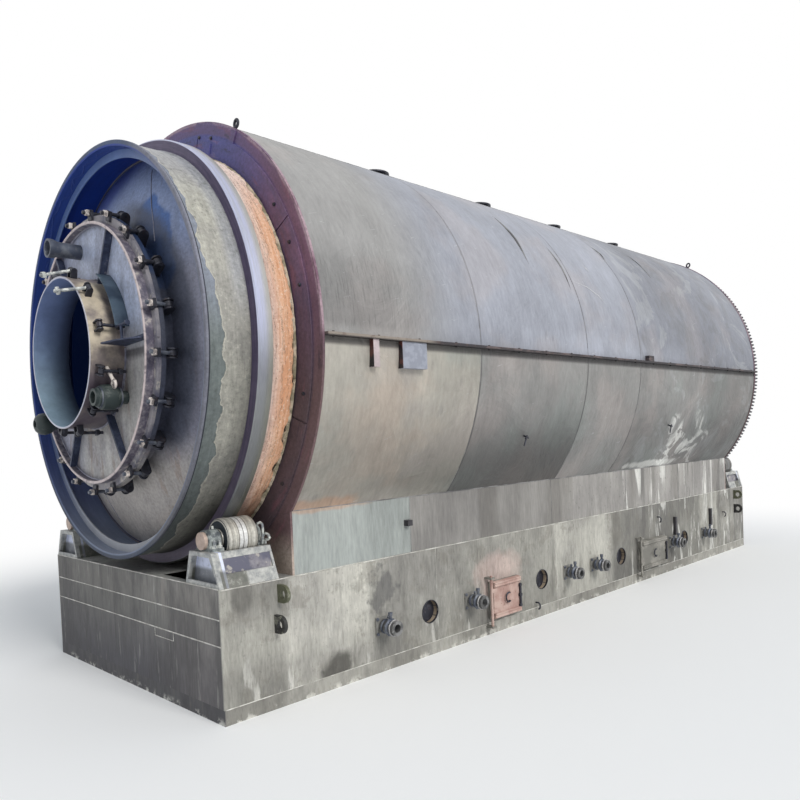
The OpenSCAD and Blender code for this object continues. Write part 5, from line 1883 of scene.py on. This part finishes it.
class ReactorPipes(bpy.types.Operator):
    """The three pipe stubs on the door cover"""

    bl_idname = "reactor.pipes"
    bl_label = "Pipe stubs"

    def execute(self, context):
        back = DOOR_S - 0.020
        steam = Mould()
        place = turned_to(101, 0.0, 0.700)
        bell = [(0.036, back), (0.048, back), (0.048, -0.26), (0.050, -0.275), (0.060, -0.300)]
        bell += [(0.060, -0.330), (0.048, -0.330), (0.040, -0.28)]
        self.pipe(steam, place, bell)
        make("grey_pipe_stub", steam, "drum", "pipe_steel")
        couplings = Mould()
        place = turned_to(*COUPLING)
        socket = [(0.030, back), (0.040, back), (0.040, -0.175), (0.058, -0.180), (0.058, -0.196)]
        socket += [(0.075, -0.204), (0.078, -0.230), (0.075, -0.282), (0.060, -0.292), (0.060, -0.306)]
        socket += [(0.052, -0.312), (0.052, -0.330), (0.036, -0.330)]
        self.pipe(couplings, place, socket)
        place = turned_to(-142, 0.0, 0.690)
        ball = [(0.030, back), (0.040, back), (0.040, -0.20), (0.056, -0.215), (0.070, -0.240)]
        ball += [(0.075, -0.268), (0.070, -0.296), (0.054, -0.318), (0.034, -0.328), (0.024, -0.328)]
        self.pipe(couplings, place, ball)
        make("green_couplings", couplings, "drum", "green_iron")
        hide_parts("pipe_stubs")
        ring = Mould()
        place = turned_to(*COUPLING)
        self.pipe(ring, place, oblong(0.041, 0.062, -0.172, -0.181))
        self.pipe(ring, place, oblong(0.053, 0.064, -0.290, -0.298))
        make("coupling_rings", ring, "drum", "pipe_steel")
        eye = Mould()
        place = turned_to(-21, -0.225, NECK_R + 0.05)
        circle = [(0.035 + 0.022 * cos, 0, -0.03 + 0.022 * sin) for cos, sin in fan(0, 345, 23)]
        eye.swept([place @ Vector(p) for p in circle], 0.009, 10, closed=True)
        eye.swept([place @ Vector((-0.045, -0.02, 0.05)), place @ Vector((0.02, 0, -0.012))], 0.011, 12)
        make("eye_bolt", eye, "drum", "cream_nut")
        return {"FINISHED"}

    def pipe(self, mould, place, profile):
        """A turned pipe whose profile gives radii and stations."""
        mould.turned(profile, place @ ALONG, steps=40)


# ---- pieces: rollers and flank fittings ----

# Bent pipes behind a front bearing: x, station and height over its foot.
GREASE_HOOK = (
    (1.072, 0.352, 0.130), (1.085, 0.362, 0.138), (1.102, 0.366, 0.128), (1.106, 0.366, 0.10),
    (1.104, 0.366, 0.060), (1.094, 0.368, 0.012),
)
GREASE_LOOP = (
    (1.096, 0.376, 0.060), (1.116, 0.380, 0.072), (1.140, 0.382, 0.062), (1.150, 0.382, 0.045),
    (1.136, 0.382, 0.036), (1.112, 0.380, 0.034), (1.106, 0.380, 0.010),
)
BEARING_FOOT = DECK_Z + 0.195


class ReactorRollers(bpy.types.Operator):
    """The support rollers and their bearings"""

    bl_idname = "reactor.rollers"
    bl_label = "Rollers"

    def execute(self, context):
        dress(["bearings"], "bearing_steel")
        bolts = Mould()
        for end in ("front", "rear"):
            for side in ("right", "left"):
                self.roller(f"{end}_{side}_roller", bolts)
        make("bearing_bolts", bolts, "furnace", "pale_iron")
        self.grease_pipes()
        return {"FINISHED"}

    def grease_pipes(self):
        """Bent pipes and a loop of bar behind the inner bearings of the front rollers."""
        pipes = Mould()
        for side in BOTH:
            for path in (GREASE_HOOK, GREASE_LOOP):
                pipes.swept([side @ Vector((x, FRONT + s, BEARING_FOOT + z)) for x, s, z in path], 0.008, 10)
        make("grease_pipes", pipes, "furnace", "pale_iron")

    def roller(self, node, bolts):
        """A roller's barrel and shaft as one turned piece, and the bolts of its bearings."""
        x = (low(node, "x") + high(node, "x")) / 2
        z = (low(node, "z") + high(node, "z")) / 2
        r = (high(node, "z") - low(node, "z")) / 2
        s0, s1 = station(low(node, "y")), station(high(node, "y"))
        barrel = Mould()
        a, b = s0 + 0.058, s1 - 0.058  # ends of the barrel between the bearings
        middle = (a + b) / 2
        profile = [
            (0.034, s0 + 0.002), (0.032, s0), (0, s0), (0, s1), (0.032, s1), (0.034, s1 - 0.002),
            (0.035, b + 0.002), (0.058, b + 0.002), (0.060, b - 0.004), (r - 0.018, b - 0.004),
            (r - 0.014, b), (r - 0.009, b), (r, b - 0.012),
            (r, middle + 0.052), (r - 0.0015, middle + 0.050), (r - 0.0015, middle - 0.050),
            (r, middle - 0.052), (r, a + 0.012), (r - 0.009, a), (r - 0.014, a), (r - 0.018, a + 0.004),
            (0.060, a + 0.004), (0.058, a - 0.002), (0.035, a - 0.002),
        ]
        barrel.turned(profile, at(x, 0, z) @ ALONG, steps=96)
        make(node + "_barrel", barrel, node, "roller_steel", smooth=30)
        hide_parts(node)
        outer = s0 - 0.008 if s0 < 1 else s1 + 0.008
        for s in (s0 + 0.026, s1 - 0.026, outer):
            for side in (-1, 1):
                bolts.bolt(0.018, at(x + side * 0.073, s, BEARING_FOOT + 0.018), 0.045)
            if s != outer:
                bolts.rod(0.007, 0.020, at(x, s, z + 0.061), 12, 0.002)


BURNER_Z = 0.315  # height of the burners and the air ports
BURNER_S = (1.21, 2.12, 3.46, 3.91, 5.51, 6.33)  # stations of the burners
PORT_S = (1.68, 3.07, 4.42, 5.83)  # stations of the air ports
HOOKS = ((2.97, 0.135), (5.20, 0.62), (6.9, 0.5))  # station and height of each hook
DOORS = (("front_fire_door", 2.325, 0.37), ("rear_fire_door", 4.74, 0.55))  # name, station and width
DOOR_Z = (0.125, 0.415)
PANEL_X = 1.247  # outside of a fire door's panel
RIDGE_X = 1.259  # outside of the bars on it
EDGE_S = 0.03  # from the door's station to the front end of the bars


class ReactorFlanks(bpy.types.Operator):
    """Burners, air ports, fire doors, hooks and levers of both flanks"""

    bl_idname = "reactor.flanks"
    bl_label = "Flank fittings"

    def execute(self, context):
        dress(["burners"], "burner_iron")
        dress(["fire_door_frames"], "door_steel")
        dress(["front_fire_door"], "pink_primer")
        dress(["rear_fire_door", "left_fire_doors"], "door_steel")
        self.burners()
        self.ports()
        self.hooks()
        for body, s, width in DOORS:
            coat = "pink_primer" if body == "front_fire_door" else "door_steel"
            self.door_parts(body, s, width, Matrix(), coat, body)
            self.door_parts("left_" + body, s, width, MIRROR, "door_steel", "furnace")
        return {"FINISHED"}

    def burners(self):
        """Flange bolts, union nuts and gas cocks on the burner tubes."""
        irons, caps = Mould(), Mould()
        for side in BOTH:
            for s in BURNER_S:
                place = side @ at(HALF_W, s, BURNER_Z) @ OUT
                for dx, dy in ((-1, -1), (1, -1), (1, 1), (-1, 1)):
                    irons.bolt(0.012, place @ moved(0.050 * dx, 0.050 * dy, 0.010))
                irons.rod(0.050, 0.016, place @ moved(0, 0, 0.030), 24, 0.003, 0.0425)
                irons.polygon_bar(8, 0.112, 0.030, place @ moved(0, 0, 0.070))
                caps.rod(0.056, 0.010, place @ moved(0, 0, 0.118), 28, 0.002, 0.0425)
                irons.rod(0.011, 0.050, place @ moved(-0.085, 0.0, 0.085) @ OUT, 12)
                irons.rod(0.016, 0.022, place @ moved(-0.100, 0.0, 0.085) @ OUT, 6)
        make("burner_fittings", irons, "furnace", "pipe_steel", bevel=0.001)
        make("burner_caps", caps, "furnace", "worn_nut")

    def ports(self):
        """Rings round the air ports, and the shutters inside them."""
        rings = Mould()
        for side in BOTH:
            for s in PORT_S:
                place = side @ at(HALF_W - 0.010, s, BURNER_Z) @ OUT
                rings.rod(0.084, 0.016, place, 48, 0.002, 0.0795)
                rings.rod(0.079, 0.006, place @ moved(0, 0, -0.035), 40)
        make("port_rings", rings, "furnace", "dark_iron")

    def hooks(self):
        """Lifting hooks welded to the flanks."""
        hooks = Mould()
        for side in (1, -1):
            for s, z in HOOKS:
                x, y = side * HALF_W, FRONT + s
                path = [(x - side * 0.003, y, z), (x + side * 0.03, y, z), (x + side * 0.045, y, z - 0.018)]
                path += [(x + side * 0.042, y, z - 0.045), (x + side * 0.028, y, z - 0.055)]
                hooks.swept(path, 0.007, 10)
        make("flank_hooks", hooks, "furnace", "dark_iron")

    def door_parts(self, name, s, width, side, coat, body):
        """A fire door's handle, edge bars and latch."""
        z0, z1 = DOOR_Z
        s0, s1 = s + EDGE_S, s + width
        mid_s, mid_z = (s0 + s1) / 2, (z0 + z1) / 2
        bars = Mould()
        for z in (z0 + 0.012, z0 + 0.034, z1 - 0.034, z1 - 0.012):
            bars.add(*self.bar(s0 + 0.004, s1 - 0.004, z), side)
        make(name + "_ridges", bars, body, coat)
        irons = Mould()
        points = []
        for cos, sin in fan(60, 300, 12):
            y, z = FRONT + mid_s + 0.034 * cos, mid_z + 0.038 * sin
            points.append(side @ Vector((PANEL_X + 0.016, y, z)))
        inward = side.to_3x3() @ Vector((-0.018, 0, 0))
        irons.swept([points[0] + inward] + points + [points[-1] + inward], 0.006, 10)
        latch = side @ at(PANEL_X, s1 - 0.010, mid_z - 0.01) @ OUT
        irons.rod(0.018, 0.020, latch, 20, 0.002)
        lever = side @ at(PANEL_X + 0.010, s1 - 0.010, mid_z - 0.01)
        irons.box(-0.005, 0.007, -0.009, 0.009, -0.085, 0.085, lever)
        for dz in (0.072, -0.092):
            irons.rod(0.016, 0.014, side @ at(PANEL_X + 0.004, s1 - 0.010, mid_z + dz) @ OUT, 16, 0.002)
        make(name + "_latch", irons, body, "dark_iron", bevel=0.001)

    def bar(self, s0, s1, z):
        """Points and faces of a half-round bar along a door's face."""
        half = [(RIDGE_X - 0.002 + 0.007 * cos, z + 0.008 * sin) for cos, sin in fan(-90, 90, 6)]
        points = [(x, FRONT + s, up) for s in (s0, s1) for x, up in half]
        faces = [[k, k + 1, 8 + k, 7 + k] for k in range(6)]
        faces += [list(range(7))[::-1], [7 + k for k in range(7)], [0, 7, 13, 6]]
        return points, faces


# ---- sidebar ----

PIECES = (
    ReactorBase, ReactorCasing, ReactorEndPlates, ReactorDrum, ReactorLining, ReactorDoor, ReactorClamps,
    ReactorNeckBolts, ReactorPipes, ReactorRollers, ReactorFlanks, ReactorStage,
)


class ReactorPanel(bpy.types.Panel):
    """Lists the steps that dress the reactor, with the settings that they read"""

    bl_idname = "VIEW3D_PT_reactor"
    bl_label = "Rotary Reactor"
    bl_space_type = "VIEW_3D"
    bl_region_type = "UI"
    bl_category = "Reactor"

    def draw(self, context):
        layout = self.layout
        for group in (context.scene.reactor_sizes, context.scene.reactor_colours):
            for key in group.__annotations__:
                layout.prop(group, key)
        for piece in PIECES:
            layout.operator(piece.bl_idname)


CLASSES = (ReactorSizes, ReactorColours, *PIECES, ReactorPanel)


def register():
    for each in CLASSES:
        bpy.utils.register_class(each)
    bpy.types.Scene.reactor_sizes = bpy.props.PointerProperty(type=ReactorSizes)
    bpy.types.Scene.reactor_colours = bpy.props.PointerProperty(type=ReactorColours)


def unregister():
    del bpy.types.Scene.reactor_colours
    del bpy.types.Scene.reactor_sizes
    for each in reversed(CLASSES):
        bpy.utils.unregister_class(each)


def write_size():
    """Works out the box of what is shown."""
    shown = [o for o in bpy.context.scene.objects if o.type == "MESH" and not o.hide_render and "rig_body" in o]
    corners = [o.matrix_world @ Vector(c) for o in shown for c in o.bound_box]
    visual = [[f(c[i] for c in corners) for i in range(3)] for f in (min, max)]


def main():
    register()
    for piece in PIECES:
        group, step = piece.bl_idname.split(".")
        getattr(getattr(bpy.ops, group), step)()
    write_size()


if __name__ == "__main__":
    main()
